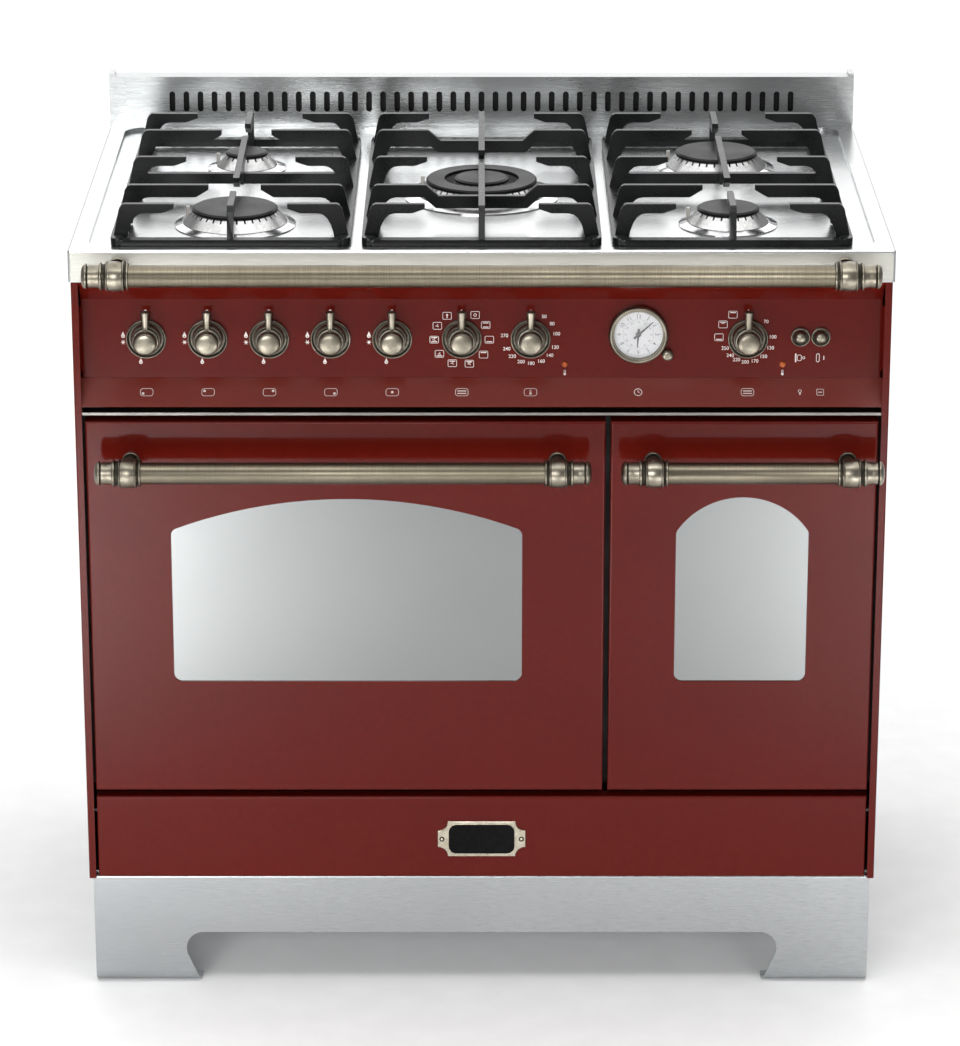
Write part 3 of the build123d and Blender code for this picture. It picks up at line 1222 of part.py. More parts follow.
def drawer_front():
    """The enamelled tray that closes the drawer."""
    across = (-FRONT_HALF, FRONT_HALF)
    tray = block(across, (FACE_Y, FACE_Y + DRAWER_TRAY), (DRAWER_BOTTOM, DRAWER_TOP))
    tray = fillet(tray.faces().sort_by(Axis.Y)[0].edges(), DOOR_EDGE_ROUND)
    inside = (across[0] + SHEET, across[1] - SHEET)
    height = (DRAWER_BOTTOM + SHEET, DRAWER_TOP - SHEET)
    return [tray - block(inside, (FACE_Y + SHEET, FACE_Y + DRAWER_TRAY), height)]


DRAWER_BOX_Y = FACE_Y + DRAWER_TRAY
DRAWER_BOX_HALF = FRONT_HALF - DRAWER_SIDE_INSET
DRAWER_BOX_LOW = DRAWER_BOTTOM + DRAWER_BOX_RISE
DRAWER_BOX_TOP = DRAWER_BOX_LOW + DRAWER_BOX_HEIGHT


def drawer_box():
    """The drawer: four walls and a floor, with a flange each side that slides on a runner; the front seats on tabs."""
    wall = LINER_SHEET
    half = DRAWER_BOX_HALF
    depth = (DRAWER_BOX_Y, DRAWER_BOX_Y + DRAWER_BOX_DEPTH)
    box = block((-half, half), depth, (DRAWER_BOX_LOW, DRAWER_BOX_TOP))
    flange = half + DRAWER_FLANGE
    box += block((-flange, flange), (depth[0] + DRAWER_TRAY, depth[1]), (DRAWER_BOX_TOP - wall, DRAWER_BOX_TOP))
    inside_height = (DRAWER_BOX_LOW + wall, DRAWER_BOX_TOP)
    box -= block((wall - half, half - wall), (depth[0] + wall, depth[1] - wall), inside_height)
    tab_height = (DRAWER_BOTTOM + CLEAR, DRAWER_TOP - CLEAR)
    for tab in both_sides(block((half / 2, half / 2 + DRAWER_FLANGE), (depth[0], depth[0] + wall), tab_height)):
        box += tab
    return [box]


def drawer_runners():
    """A ledge on each side panel, which carries the drawer's flange."""
    ledge_top = DRAWER_BOX_TOP - LINER_SHEET - CLEAR
    depth = (DRAWER_BOX_Y + DRAWER_TRAY, BACK_PANEL_Y - SHEET - CLEAR)
    inner = DRAWER_BOX_HALF + RUNNER_GAP
    runner = block((inner, INSIDE), depth, (ledge_top - RUNNER_LEDGE, ledge_top))
    runner += block((INSIDE - SHEET, INSIDE), depth, (ledge_top - RUNNER_LEG, ledge_top))
    return both_sides(runner)


def name_plate():
    """A bare plate with scooped corners and an ear at each end, sunk in the middle."""
    body = Rectangle(NAME_PLATE_WIDTH - 2 * NAME_PLATE_EAR, NAME_PLATE_HEIGHT)
    corner_x = NAME_PLATE_WIDTH / 2 - NAME_PLATE_EAR
    for x in (-corner_x, corner_x):
        for z in (-NAME_PLATE_HEIGHT / 2, NAME_PLATE_HEIGHT / 2):
            body -= Pos(x, z) * Circle(NAME_PLATE_SCOOP)
    ears = RectangleRounded(NAME_PLATE_WIDTH, NAME_PLATE_EAR_HEIGHT, NAME_PLATE_EAR / 3)
    plate = extrude(body + ears, NAME_PLATE_DEPTH)
    field = RectangleRounded(NAME_FIELD_WIDTH, NAME_FIELD_HEIGHT, NAME_FIELD_ROUND)
    plate -= Pos(0, 0, NAME_PLATE_DEPTH - NAME_FIELD_DEPTH) * extrude(field, NAME_FIELD_DEPTH)
    return [Pos(0, FACE_Y, (DRAWER_TOP + DRAWER_BOTTOM) / 2 - PLINTH_GAP) * TO_FRONT * plate]


def hob_rail():
    """The rail along the front of the hob."""
    reach = HALF - RAIL_END_INSET
    return handle(-reach, reach, APRON_Y, RAIL_STANDOFF, HOB_HEIGHT - RAIL_DROP)


def all_pieces():
    """Every node's name with its solids."""
    pieces = {
        "side_panels": side_panels(),
        "back_panel": back_panel(),
        "base_pan": base_pan(),
        "front_frame": front_frame(),
        "plinth": plinth(),
        "adjustable_feet": adjustable_feet(),
        "hob_top": hob_top(),
        "backsplash": backsplash(),
        "control_panel": control_panel(),
        "vent_trim": vent_trim(),
        "hob_rail": hob_rail(),
        "main_oven_liner": main_oven_liner(),
        "small_oven_liner": [oven_liner(SMALL)],
        "oven_gaskets": oven_gaskets(),
        "oven_racks": oven_racks(),
        "heating_elements": heating_elements(),
        "convection_fan": convection_fan(),
        "fan_cover": fan_cover(),
        "fan_motor": fan_motor(),
        "hinge_brackets": hinge_brackets(),
        "burner_cups": burner_cups(),
        "burner_heads": burner_heads(),
        "burner_caps": burner_caps(),
        "spark_electrodes": spark_electrodes(),
        "pan_support_left": pan_support(-SUPPORT_X, side_blades()),
        "pan_support_centre": pan_support(0, centre_blades()),
        "pan_support_right": pan_support(SUPPORT_X, side_blades()),
        "gas_manifold": gas_manifold(),
        "oven_switches": oven_switches(),
        "control_bezels": control_bezels(),
        "oven_function_knob": knob(OVEN_KNOB_X[0]),
        "oven_temperature_knob": knob(OVEN_KNOB_X[1]),
        "small_oven_knob": knob(OVEN_KNOB_X[2]),
        "lamp_button": button(BUTTONS_X[0]),
        "spit_button": button(BUTTONS_X[1]),
        "pilot_lamps": pilot_lamps(),
        "clock_body": clock_body(),
        "clock_glass": clock_glass(),
        "clock_minute_hand": clock_minute_hand(),
        "clock_hour_hand": clock_hour_hand(),
        "clock_crown": clock_crown(),
        "drawer_front": drawer_front(),
        "drawer_box": drawer_box(),
        "drawer_runners": drawer_runners(),
        "name_plate": name_plate(),
    }
    for place, x in zip(BURNERS, GAS_KNOB_X):
        pieces[f"gas_knob_{place}"] = knob(x)
    for door in DOORS:
        pieces[f"{door.name}_panel"] = door_panel(door)
        pieces[f"{door.name}_window"] = door_window(door)
        pieces[f"{door.name}_inner_glass"] = door_inner_glass(door)
        pieces[f"{door.name}_hinges"] = door_hinges(door)
        pieces[f"{door.name}_handle"] = door_handle(door)
    return pieces


def main():
    """Writes one file for each node."""
    os.makedirs("parts", exist_ok=True)
    for name, shapes in all_pieces().items():
        solids = [solid for shape in shapes for solid in shape.solids()]
        export_step(Compound(solids), f"parts/{name}.step")


main()
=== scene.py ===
"""A dual-fuel range cooker dressed for the studio: red enamel, brushed steel, cast iron and aged bronze.

Places on the cooker are in metres, as in the frame. The sizes of pieces are in millimetres.
"""
from __future__ import annotations

import json
import logging
import math
from abc import ABC, abstractmethod
from dataclasses import dataclass, field
from enum import Enum, IntEnum
from typing import Callable, Sequence

import bmesh
import bpy
from mathutils import Matrix, Vector

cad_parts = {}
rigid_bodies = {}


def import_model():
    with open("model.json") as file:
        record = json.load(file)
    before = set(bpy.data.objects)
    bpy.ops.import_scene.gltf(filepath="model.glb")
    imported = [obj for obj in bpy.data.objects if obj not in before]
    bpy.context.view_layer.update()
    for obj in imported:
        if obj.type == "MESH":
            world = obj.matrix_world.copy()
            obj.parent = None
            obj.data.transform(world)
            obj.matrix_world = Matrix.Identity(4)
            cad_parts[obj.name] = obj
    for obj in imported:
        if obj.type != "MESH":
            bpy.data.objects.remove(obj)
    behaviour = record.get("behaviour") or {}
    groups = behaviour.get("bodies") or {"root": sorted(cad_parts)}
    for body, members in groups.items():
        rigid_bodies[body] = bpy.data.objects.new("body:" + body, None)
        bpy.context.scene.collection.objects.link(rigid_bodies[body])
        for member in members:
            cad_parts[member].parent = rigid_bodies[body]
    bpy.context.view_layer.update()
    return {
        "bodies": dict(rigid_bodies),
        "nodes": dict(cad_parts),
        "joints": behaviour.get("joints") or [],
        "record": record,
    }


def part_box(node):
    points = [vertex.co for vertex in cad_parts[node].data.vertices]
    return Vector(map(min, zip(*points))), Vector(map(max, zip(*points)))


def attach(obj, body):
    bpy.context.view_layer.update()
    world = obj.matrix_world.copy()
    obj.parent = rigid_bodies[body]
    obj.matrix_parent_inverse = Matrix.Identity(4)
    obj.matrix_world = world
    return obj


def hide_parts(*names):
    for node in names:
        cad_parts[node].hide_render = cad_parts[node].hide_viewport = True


LOG = logging.getLogger("cooker")
MM = 0.001

Colour = tuple[float, float, float]
Flat = tuple[float, float]
Step = tuple[float, float] | tuple[float, float, int]
Socket = bpy.types.NodeSocket
Corner = bmesh.types.BMVert


class Grain(Enum):
    """How a surface is lined: the stretch of its noise along X, Y and Z."""

    EVEN = (1.0, 1.0, 1.0)
    ACROSS = (1.0, 50.0, 50.0)
    RINGS = (50.0, 0.6, 0.6)


class Pattern(Enum):
    """The kinds of texture that a finish is mixed from."""

    NOISE = "ShaderNodeTexNoise"
    CELLS = "ShaderNodeTexVoronoi"
    RIDGES = "ShaderNodeTexWave"


class Slant(Enum):
    """The way that ridges follow each other."""

    ACROSS = "X"
    DIAGONAL = "DIAGONAL"


class Blend(Enum):
    """How two patterns are joined."""

    SUM = "ADD"
    PRODUCT = "MULTIPLY"
    LARGER = "MAXIMUM"


class Shader:
    """The node tree of one material, with short calls for the nodes that feed its surface."""

    def __init__(self, name: str) -> None:
        """Starts a material whose patterns are laid out in metres.

        Args:
            name: The material's name.
        """
        self.material = bpy.data.materials.new(name)
        self.material.use_nodes = True
        self.nodes = self.material.node_tree.nodes
        self.links = self.material.node_tree.links
        self.surface = self.nodes["Principled BSDF"]
        self.metres = self.nodes.new("ShaderNodeTexCoord").outputs["Object"]

    def fix(self, socket: str, value: float | Colour) -> None:
        """Sets one socket of the surface to a number or colour that is the same all over."""
        fixed = (*value, 1.0) if isinstance(value, tuple) else value
        self.surface.inputs[socket].default_value = fixed

    def feed(self, socket: str, source: Socket) -> None:
        """Links a pattern to one socket of the surface."""
        self.links.new(source, self.surface.inputs[socket])

    def texture(self, pattern: Pattern, source: Socket, scale: float) -> bpy.types.Node:
        """Adds a texture.

        Args:
            pattern: Its kind.
            source: The coordinates that it is laid out in.
            scale: Features per metre.

        Returns:
            Its node.
        """
        node = self.nodes.new(pattern.value)
        node.inputs["Scale"].default_value = scale
        self.links.new(source, node.inputs["Vector"])
        return node

    def noise(self, scale: float, detail: float = 2.0, grain: Grain = Grain.EVEN) -> Socket:
        """Adds a noise.

        Args:
            scale: Features per metre.
            detail: Octaves.
            grain: The direction in which it is drawn out.

        Returns:
            The noise, around a half.
        """
        mapping = self.nodes.new("ShaderNodeMapping")
        mapping.inputs["Scale"].default_value = grain.value
        self.links.new(self.metres, mapping.inputs["Vector"])
        node = self.texture(Pattern.NOISE, mapping.outputs["Vector"], scale)
        node.inputs["Detail"].default_value = detail
        return node.outputs["Fac"]

    def cells(self, scale: float, output: str) -> Socket:
        """Adds cells, read by the Distance from a cell's middle or by each cell's own Color."""
        return self.texture(Pattern.CELLS, self.metres, scale).outputs[output]

    def ridges(self, scale: float, slant: Slant) -> Socket:
        """Adds even ridges.

        Args:
            scale: Ridges per metre, over two pi.
            slant: The way that they follow each other.

        Returns:
            The height of the ridges.
        """
        node = self.texture(Pattern.RIDGES, self.metres, scale)
        node.bands_direction = slant.value
        return node.outputs["Fac"]

    def joined(self, first: Socket, second: Socket, blend: Blend = Blend.PRODUCT) -> Socket:
        """Joins two patterns.

        Args:
            first: One pattern.
            second: The other.
            blend: How they are joined.

        Returns:
            The joined pattern.
        """
        node = self.nodes.new("ShaderNodeMath")
        node.operation = blend.value
        self.links.new(first, node.inputs[0])
        self.links.new(second, node.inputs[1])
        return node.outputs["Value"]

    def colour(self, source: Socket, span: Flat, tones: tuple[Colour, Colour]) -> None:
        """Colours the surface by a pattern.

        Args:
            source: The pattern.
            span: The part of the pattern over which the colour changes.
            tones: The colours at the start and the end of the span.
        """
        node = self.nodes.new("ShaderNodeValToRGB")
        for element, place, tone in zip(node.color_ramp.elements, span, tones):
            element.position = place
            element.color = (*tone, 1.0)
        self.links.new(source, node.inputs["Fac"])
        self.feed("Base Color", node.outputs["Color"])

    def roughen(self, source: Socket, ends: Flat, span: Flat = (0.3, 0.7)) -> None:
        """Gives the surface an uneven gloss.

        Args:
            source: The pattern.
            ends: The roughness at the start and the end of the span.
            span: The part of the pattern that is used.
        """
        node = self.nodes.new("ShaderNodeMapRange")
        for name, value in zip(("From Min", "From Max", "To Min", "To Max"), (*span, *ends)):
            node.inputs[name].default_value = value
        self.links.new(source, node.inputs["Value"])
        self.feed("Roughness", node.outputs["Result"])

    def relief(self, source: Socket, depth: float) -> None:
        """Raises the surface by a pattern.

        Args:
            source: The pattern.
            depth: Its height in millimetres.
        """
        node = self.nodes.new("ShaderNodeBump")
        node.inputs["Distance"].default_value = depth * MM
        self.links.new(source, node.inputs["Height"])
        self.feed("Normal", node.outputs["Normal"])


@dataclass(frozen=True)
class Finish(ABC):
    """A named surface finish, made into a material once and then shared."""

    name: str

    @abstractmethod
    def mix(self, shader: Shader) -> None:
        """Lays the finish into an empty material."""

    def material(self) -> bpy.types.Material:
        """Finds or makes the finish's material.

        Returns:
            The material.
        """
        title = f"{self.name}_finish"
        found = bpy.data.materials.get(title)
        if found is None:
            shader = Shader(title)
            self.mix(shader)
            found = shader.material
        return found


@dataclass(frozen=True)
class Toned(Finish):
    """A finish whose colour drifts between a dark and a light tone."""

    dark: Colour
    light: Colour

    @property
    def tones(self) -> tuple[Colour, Colour]:
        """The dark and the light tone."""
        return self.dark, self.light


@dataclass(frozen=True)
class Enamel(Toned):
    """Fired enamel: a faint drift of colour, an uneven gloss and a fine orange peel."""

    gloss: Flat
    mirror: float
    peel: float

    def mix(self, shader: Shader) -> None:
        """Lays the enamel into a material.

        Args:
            shader: The material's nodes.
        """
        drift = shader.joined(shader.noise(scale=5.0, detail=3.0), shader.noise(scale=160.0))
        shader.colour(drift, span=(0.16, 0.36), tones=self.tones)
        shader.roughen(shader.noise(scale=28.0, detail=4.0), self.gloss)
        shader.relief(shader.noise(scale=190.0, detail=1.0), self.peel)
        shader.fix("Specular IOR Level", self.mirror)


@dataclass(frozen=True)
class Metal(Toned):
    """Bare or plated metal: lines along the grain, cloudy stains and an uneven polish."""

    polish: Flat
    grain: Grain = Grain.EVEN
    lines: float = 60.0
    stains: float = 9.0
    depth: float = 0.006

    def mix(self, shader: Shader) -> None:
        """Lays the metal into a material, smoothest where it is lightest.

        Args:
            shader: The material's nodes.
        """
        span = (0.1, 0.42)
        lines = shader.noise(self.lines, detail=4.0, grain=self.grain)
        tone = shader.joined(lines, shader.noise(self.stains, detail=4.0))
        shader.colour(tone, span, self.tones)
        shader.roughen(tone, self.polish[::-1], span)
        shader.relief(lines, self.depth)
        shader.fix("Metallic", 1.0)


@dataclass(frozen=True)
class Brushed(Metal):
    """Stainless sheet, brushed along its width."""

    grain: Grain = Grain.ACROSS
    lines: float = 40.0
    stains: float = 4.0
    depth: float = 0.0008


@dataclass(frozen=True)
class Cast(Toned):
    """A cast or moulded surface with a fine grain, worn a little lighter in places."""

    gloss: Flat
    pore_size: float = 0.5
    depth: float = 0.004
    mirror: float = 0.5

    def mix(self, shader: Shader) -> None:
        """Lays the casting into a material.

        Args:
            shader: The material's nodes.
        """
        pores = shader.noise(1.0 / (self.pore_size * MM), detail=3.0)
        wear = shader.noise(scale=22.0, detail=5.0)
        shader.colour(wear, span=(0.4, 0.7), tones=self.tones)
        shader.roughen(shader.joined(pores, wear), self.gloss, span=(0.12, 0.38))
        shader.relief(pores, self.depth)
        shader.fix("Specular IOR Level", self.mirror)


@dataclass(frozen=True)
class Speckled(Toned):
    """Dark oven enamel with light specks."""

    specks: float = 420.0

    def mix(self, shader: Shader) -> None:
        """Lays the speckled enamel into a material.

        Args:
            shader: The material's nodes.
        """
        near = shader.joined(shader.cells(self.specks, "Distance"), shader.noise(scale=60.0), Blend.SUM)
        shader.colour(near, span=(0.52, 0.6), tones=(self.light, self.dark))
        shader.roughen(shader.noise(scale=40.0, detail=3.0), ends=(0.18, 0.34))
        shader.relief(shader.noise(scale=240.0, detail=1.0), depth=0.02)


@dataclass(frozen=True)
class Spangled(Toned):
    """Zinc-coated sheet with its crystal spangle."""

    spangle: float = 90.0

    def mix(self, shader: Shader) -> None:
        """Lays the zinc into a material.

        Args:
            shader: The material's nodes.
        """
        crystals = shader.joined(shader.cells(self.spangle, "Color"), shader.noise(scale=15.0, detail=3.0))
        shader.colour(crystals, span=(0.1, 0.45), tones=self.tones)
        shader.roughen(crystals, ends=(0.36, 0.46), span=(0.1, 0.5))
        shader.relief(shader.noise(scale=400.0), depth=0.01)
        shader.fix("Metallic", 1.0)


@dataclass(frozen=True)
class Braided(Toned):
    """A woven rope seal."""

    strands: float = 150.0

    def mix(self, shader: Shader) -> None:
        """Lays the braid into a material.

        Args:
            shader: The material's nodes.
        """
        lay = [shader.ridges(self.strands, slant) for slant in (Slant.DIAGONAL, Slant.ACROSS)]
        braid = shader.joined(*lay, Blend.LARGER)
        shader.colour(braid, span=(0.2, 0.9), tones=self.tones)
        shader.roughen(shader.noise(scale=300.0), ends=(0.8, 0.95))
        shader.relief(braid, depth=0.4)


@dataclass(frozen=True)
class Glass(Finish):
    """A clear or tinted pane with a trace of haze."""

    tint: Colour
    cover: float
    haze: Flat = (0.02, 0.07)

    def mix(self, shader: Shader) -> None:
        """Lays the glass into a material.

        Args:
            shader: The material's nodes.
        """
        shader.fix("Base Color", self.tint)
        shader.fix("Alpha", self.cover)
        shader.roughen(shader.noise(scale=18.0, detail=4.0), self.haze)


@dataclass(frozen=True)
class Mirror(Toned):
    """Half-silvered oven glass with a soft, faintly uneven reflection."""

    haze: Flat

    def mix(self, shader: Shader) -> None:
        """Lays the mirror into a material.

        Args:
            shader: The material's nodes.
        """
        shader.colour(shader.noise(scale=4.0, detail=3.0), span=(0.35, 0.65), tones=self.tones)
        shader.roughen(shader.noise(scale=30.0, detail=4.0), self.haze)
        shader.fix("Metallic", 1.0)


RED = Enamel(
    "red_enamel", (0.084, 0.0056, 0.0032), (0.091, 0.0064, 0.0038), (0.05, 0.1), mirror=0.15, peel=0.002)
# Painted light: lighter than RED, standing in for the light that the upward-tilted lower facet catches; its
# rougher gloss is real.
LIT_FACET_RED = Enamel(
    "lit_facet_red_enamel", (0.130, 0.0125, 0.0065), (0.138, 0.0135, 0.0070), (0.36, 0.44),
    mirror=0.25, peel=0.002)
# Painted shade: black enamel on the front frame and on a sheet behind the backsplash slots, darkening gaps
# that only lie in shade.
SHADE_BLACK = Enamel(
    "painted_shade_black", (0.006, 0.005, 0.005), (0.010, 0.009, 0.009), (0.3, 0.45), mirror=0.3, peel=0.01)
FIELD = Enamel(
    "plate_field", (0.003, 0.003, 0.003), (0.006, 0.006, 0.006), (0.12, 0.2), mirror=0.06, peel=0.004)
OVEN = Speckled("oven_enamel", (0.012, 0.012, 0.015), (0.20, 0.21, 0.24))
STEEL = Brushed("brushed_steel", (0.50, 0.51, 0.515), (0.60, 0.61, 0.61), (0.2, 0.3))
# Painted reflection: a beige tint standing in for the bronze rail mirrored in the apron; the satin roughness
# is real.
RAIL_TINTED_STEEL = Brushed("rail_tinted_satin_steel", (0.45, 0.445, 0.405), (0.54, 0.535, 0.49), (0.44, 0.54))
# Painted shade: a darker copy of the hob's brushed steel for the upright backsplash.
SHADED_SPLASH_STEEL = Brushed("shaded_upright_steel", (0.35, 0.36, 0.365), (0.50, 0.51, 0.51), (0.24, 0.32))
PLINTH_STEEL = Brushed(
    "plinth_steel", (0.36, 0.375, 0.385), (0.48, 0.495, 0.505), (0.24, 0.32), lines=60.0, stains=3.0)
# Painted shade: steel darkened well below bare stainless, standing in for the shade of the vent gap that the
# trim sits in.
SHADED_TRIM_STEEL = Brushed("shaded_trim_steel", (0.16, 0.154, 0.145), (0.25, 0.241, 0.225), (0.24, 0.36), stains=9.0)
PLATED = Metal(
    "plated_steel", (0.42, 0.43, 0.44), (0.62, 0.63, 0.64), (0.22, 0.4), lines=140.0, depth=0.0008)
CHROME = Metal("bright_wire", (0.55, 0.55, 0.56), (0.75, 0.75, 0.76), (0.1, 0.2), lines=90.0, depth=0.0008)
ZINC = Spangled("zinc_sheet", (0.46, 0.47, 0.49), (0.57, 0.58, 0.60))
BRONZE = Metal(
    "aged_bronze", (0.18, 0.161, 0.125), (0.32, 0.292, 0.235), (0.27, 0.39),
    lines=90.0, stains=25.0, depth=0.0012)
BAR_BRONZE = Metal(
    "lined_bronze", (0.115, 0.099, 0.070), (0.235, 0.207, 0.155), (0.28, 0.42),
    grain=Grain.RINGS, stains=8.0, depth=0.004)
# Dark patina in the hollows of the bronze; in the sockets of the plated screws the same dark is painted
# shade.
PATINA_AND_SHADE = Metal(
    "dark_patina_and_shade", (0.022, 0.020, 0.015), (0.06, 0.054, 0.042), (0.4, 0.6), lines=300.0, stains=50.0)
DISH = Metal(
    "dished_bronze", (0.15, 0.143, 0.116), (0.27, 0.258, 0.215), (0.4, 0.55),
    lines=240.0, stains=40.0, depth=0.004)
PLATE_BRASS = Metal(
    "plate_brass", (0.40, 0.355, 0.27), (0.60, 0.55, 0.45), (0.2, 0.32),
    lines=120.0, stains=40.0, depth=0.001)
ALLOY = Metal(
    "burner_alloy", (0.40, 0.40, 0.40), (0.62, 0.62, 0.61), (0.26, 0.42),
    lines=300.0, stains=40.0, depth=0.003)
CUP_STEEL = Metal(
    "burner_cup_steel", (0.50, 0.50, 0.51), (0.68, 0.68, 0.69), (0.1, 0.2),
    lines=160.0, stains=12.0, depth=0.001)
COPPER = Metal("pipe_copper", (0.38, 0.20, 0.11), (0.62, 0.36, 0.22), (0.24, 0.44), lines=120.0, stains=30.0)
IRON = Cast(
    "cast_iron", (0.006, 0.0065, 0.0068), (0.013, 0.0135, 0.014), (0.24, 0.36),
    pore_size=1.4, depth=0.03, mirror=0.22)
CAP = Cast(
    "burner_cap_enamel", (0.006, 0.006, 0.0065), (0.012, 0.012, 0.0125), (0.34, 0.5),
    pore_size=0.8, depth=0.02, mirror=0.15)
CERAMIC = Cast(
    "spark_ceramic", (0.42, 0.40, 0.37), (0.55, 0.53, 0.49), (0.25, 0.4), pore_size=0.6, depth=0.01)
PLASTIC = Cast(
    "switch_plastic", (0.05, 0.05, 0.055), (0.08, 0.08, 0.085), (0.4, 0.55), pore_size=0.9, depth=0.02)
LENS = Cast("amber_lens", (0.30, 0.050, 0.004), (0.42, 0.09, 0.008), (0.06, 0.12), pore_size=1.5)
BLACK = Cast("hand_black", (0.012, 0.012, 0.012), (0.02, 0.02, 0.02), (0.4, 0.5))
INK = Cast("white_print", (0.66, 0.58, 0.55), (0.78, 0.70, 0.67), (0.4, 0.5))
DIAL = Cast("dial_white", (0.61, 0.61, 0.625), (0.68, 0.68, 0.695), (0.35, 0.5), pore_size=0.7)
DIAL_INK = Cast("dial_print", (0.07, 0.07, 0.075), (0.11, 0.11, 0.115), (0.45, 0.55))
FLOOR = Cast(
    "studio_floor", (0.84, 0.84, 0.84), (0.87, 0.87, 0.87), (0.7, 0.8), pore_size=40.0, depth=0.0, mirror=0.2)
SEAL = Braided("rope_seal", (0.03, 0.03, 0.03), (0.12, 0.12, 0.12))
MIRROR = Mirror("oven_mirror", (0.195, 0.201, 0.200), (0.208, 0.214, 0.213), (0.08, 0.13))
CLEAR = Glass("clear_glass", (0.9, 0.92, 0.92), cover=0.08)
SMOKED = Glass("smoked_glass", (0.012, 0.012, 0.013), cover=0.82)

FACES_FRONT = Matrix.Rotation(math.radians(90.0), 4, "X")
RUNS_RIGHT = Matrix.Rotation(math.radians(90.0), 4, "Y")
POINTS_UP = Matrix.Rotation(math.radians(-90.0), 4, "X")
CORNERS = ((1, 1), (-1, 1), (-1, -1), (1, -1))
PANEL_Y = -0.22175
DOOR_Y = -0.24675
HANDLE_Y = -0.29175
HANDLE_Z = 0.639
GAS_KNOBS = ("front_left", "rear_left", "rear_right", "front_right", "centre")


def facing(x: float, y: float, z: float) -> Matrix:
    """A place in metres that faces the front."""
    return Matrix.Translation((x, y, z)) @ FACES_FRONT


def shifted(place: Matrix, across: float, up: float, out: float = 0.0) -> Matrix:
    """A place shifted by millimetres across, up and out of its own face."""
    return place @ Matrix.Translation((across * MM, up * MM, out * MM))


def turned(place: Matrix, degrees: float) -> Matrix:
    """A place turned clockwise in its own face."""
    return place @ Matrix.Rotation(math.radians(-degrees), 4, "Z")


def grown(outline: Sequence[Flat], by: float) -> list[Flat]:
    """Offsets a closed outline along its corners' normals.

    Args:
        outline: Corners, anticlockwise.
        by: Distance outwards.

    Returns:
        The offset corners.
    """
    sharpest = 0.3
    found = []
    for index, corner in enumerate(outline):
        here = Vector(corner)
        arrives = (here - Vector(outline[index - 1])).normalized()
        leaves = (Vector(outline[(index + 1) % len(outline)]) - here).normalized()
        first, second = Vector((arrives.y, -arrives.x)), Vector((leaves.y, -leaves.x))
        across = (first + second) / max(1.0 + first.dot(second), sharpest)
        found.append(tuple(here + across * by))
    return found


def rounded(width: float, height: float, radius: float, steps: int = 6) -> list[Flat]:
    """The outline of a rectangle with round corners.

    Args:
        width: Its width.
        height: Its height.
        radius: Its corners' radius.
        steps: Steps in each corner.

    Returns:
        Corners, anticlockwise.
    """
    found = []
    for quarter, (side, rise) in enumerate(CORNERS):
        for step in range(steps + 1):
            angle = math.pi / 2 * (quarter + step / steps)
            x = side * (width / 2 - radius) + radius * math.cos(angle)
            y = rise * (height / 2 - radius) + radius * math.sin(angle)
            found.append((x, y))
    return found


def square(left: float, right: float, low: float, high: float) -> list[Flat]:
    """The outline of a rectangle between its edges."""
    return [(left, low), (right, low), (right, high), (left, high)]


def circle(radius: float, steps: int = 24, middle: Flat = (0.0, 0.0)) -> list[Flat]:
    """The outline of a disc, anticlockwise."""
    turns = [2 * math.pi * step / steps for step in range(steps)]
    return [(middle[0] + radius * math.cos(turn), middle[1] + radius * math.sin(turn)) for turn in turns]


def moved(outline: Sequence[Flat], x: float, y: float) -> list[Flat]:
    """Shifts an outline."""
    return [(across + x, up + y) for across, up in outline]


class Band(IntEnum):
    """The part of a turned piece that a run of its profile belongs to, in the order of its finishes."""

    BRIGHT = 0
    DARK = 1
    PLAIN = 2


class Profile:
    """The outline of a turned piece: (radius, height) points, and a band for each run between them."""

    def __init__(self, steps: Sequence[Step] = ()) -> None:
        """Starts a profile.

        Args:
            steps: Radius, height and the band of the run that ends there, if it isn't bright.
        """
        self.points: list[Flat] = [(step[0], step[1]) for step in steps]
        self.bands: list[int] = [step[2] if len(step) > 2 else Band.BRIGHT for step in steps[1:]]

    def doubled(self, length: float) -> Profile:
        """Joins the profile to its mirror image at the far end of a bar.

        Args:
            length: The bar's whole length.

        Returns:
            The profile of the whole bar, with a plain run between the two ends.
        """
        whole = Profile()
        whole.points = self.points + [(radius, length - height) for radius, height in reversed(self.points)]
        whole.bands = [*self.bands, Band.PLAIN, *reversed(self.bands)]
        return whole

    def softened(self, radius: float) -> Profile:
        """Rounds every corner a little.

        Args:
            radius: How far from the corner the rounding starts.

        Returns:
            The rounded profile.
        """
        largest_share = 0.4
        soft = Profile(self.points[:1])
        for before, corner, after, arrives, leaves in zip(
                self.points, self.points[1:], self.points[2:], self.bands, self.bands[1:]):
            here = Vector(corner)
            back, on = Vector(before) - here, Vector(after) - here
            reach = min(radius, largest_share * back.length, largest_share * on.length)
            start, end = here + back.normalized() * reach, here + on.normalized() * reach
            soft.points += [tuple(start), tuple((start + end + 2 * here) / 4), tuple(end)]
            soft.bands += [arrives, arrives, leaves]
        soft.points.append(self.points[-1])
        soft.bands.append(self.bands[-1])
        return soft


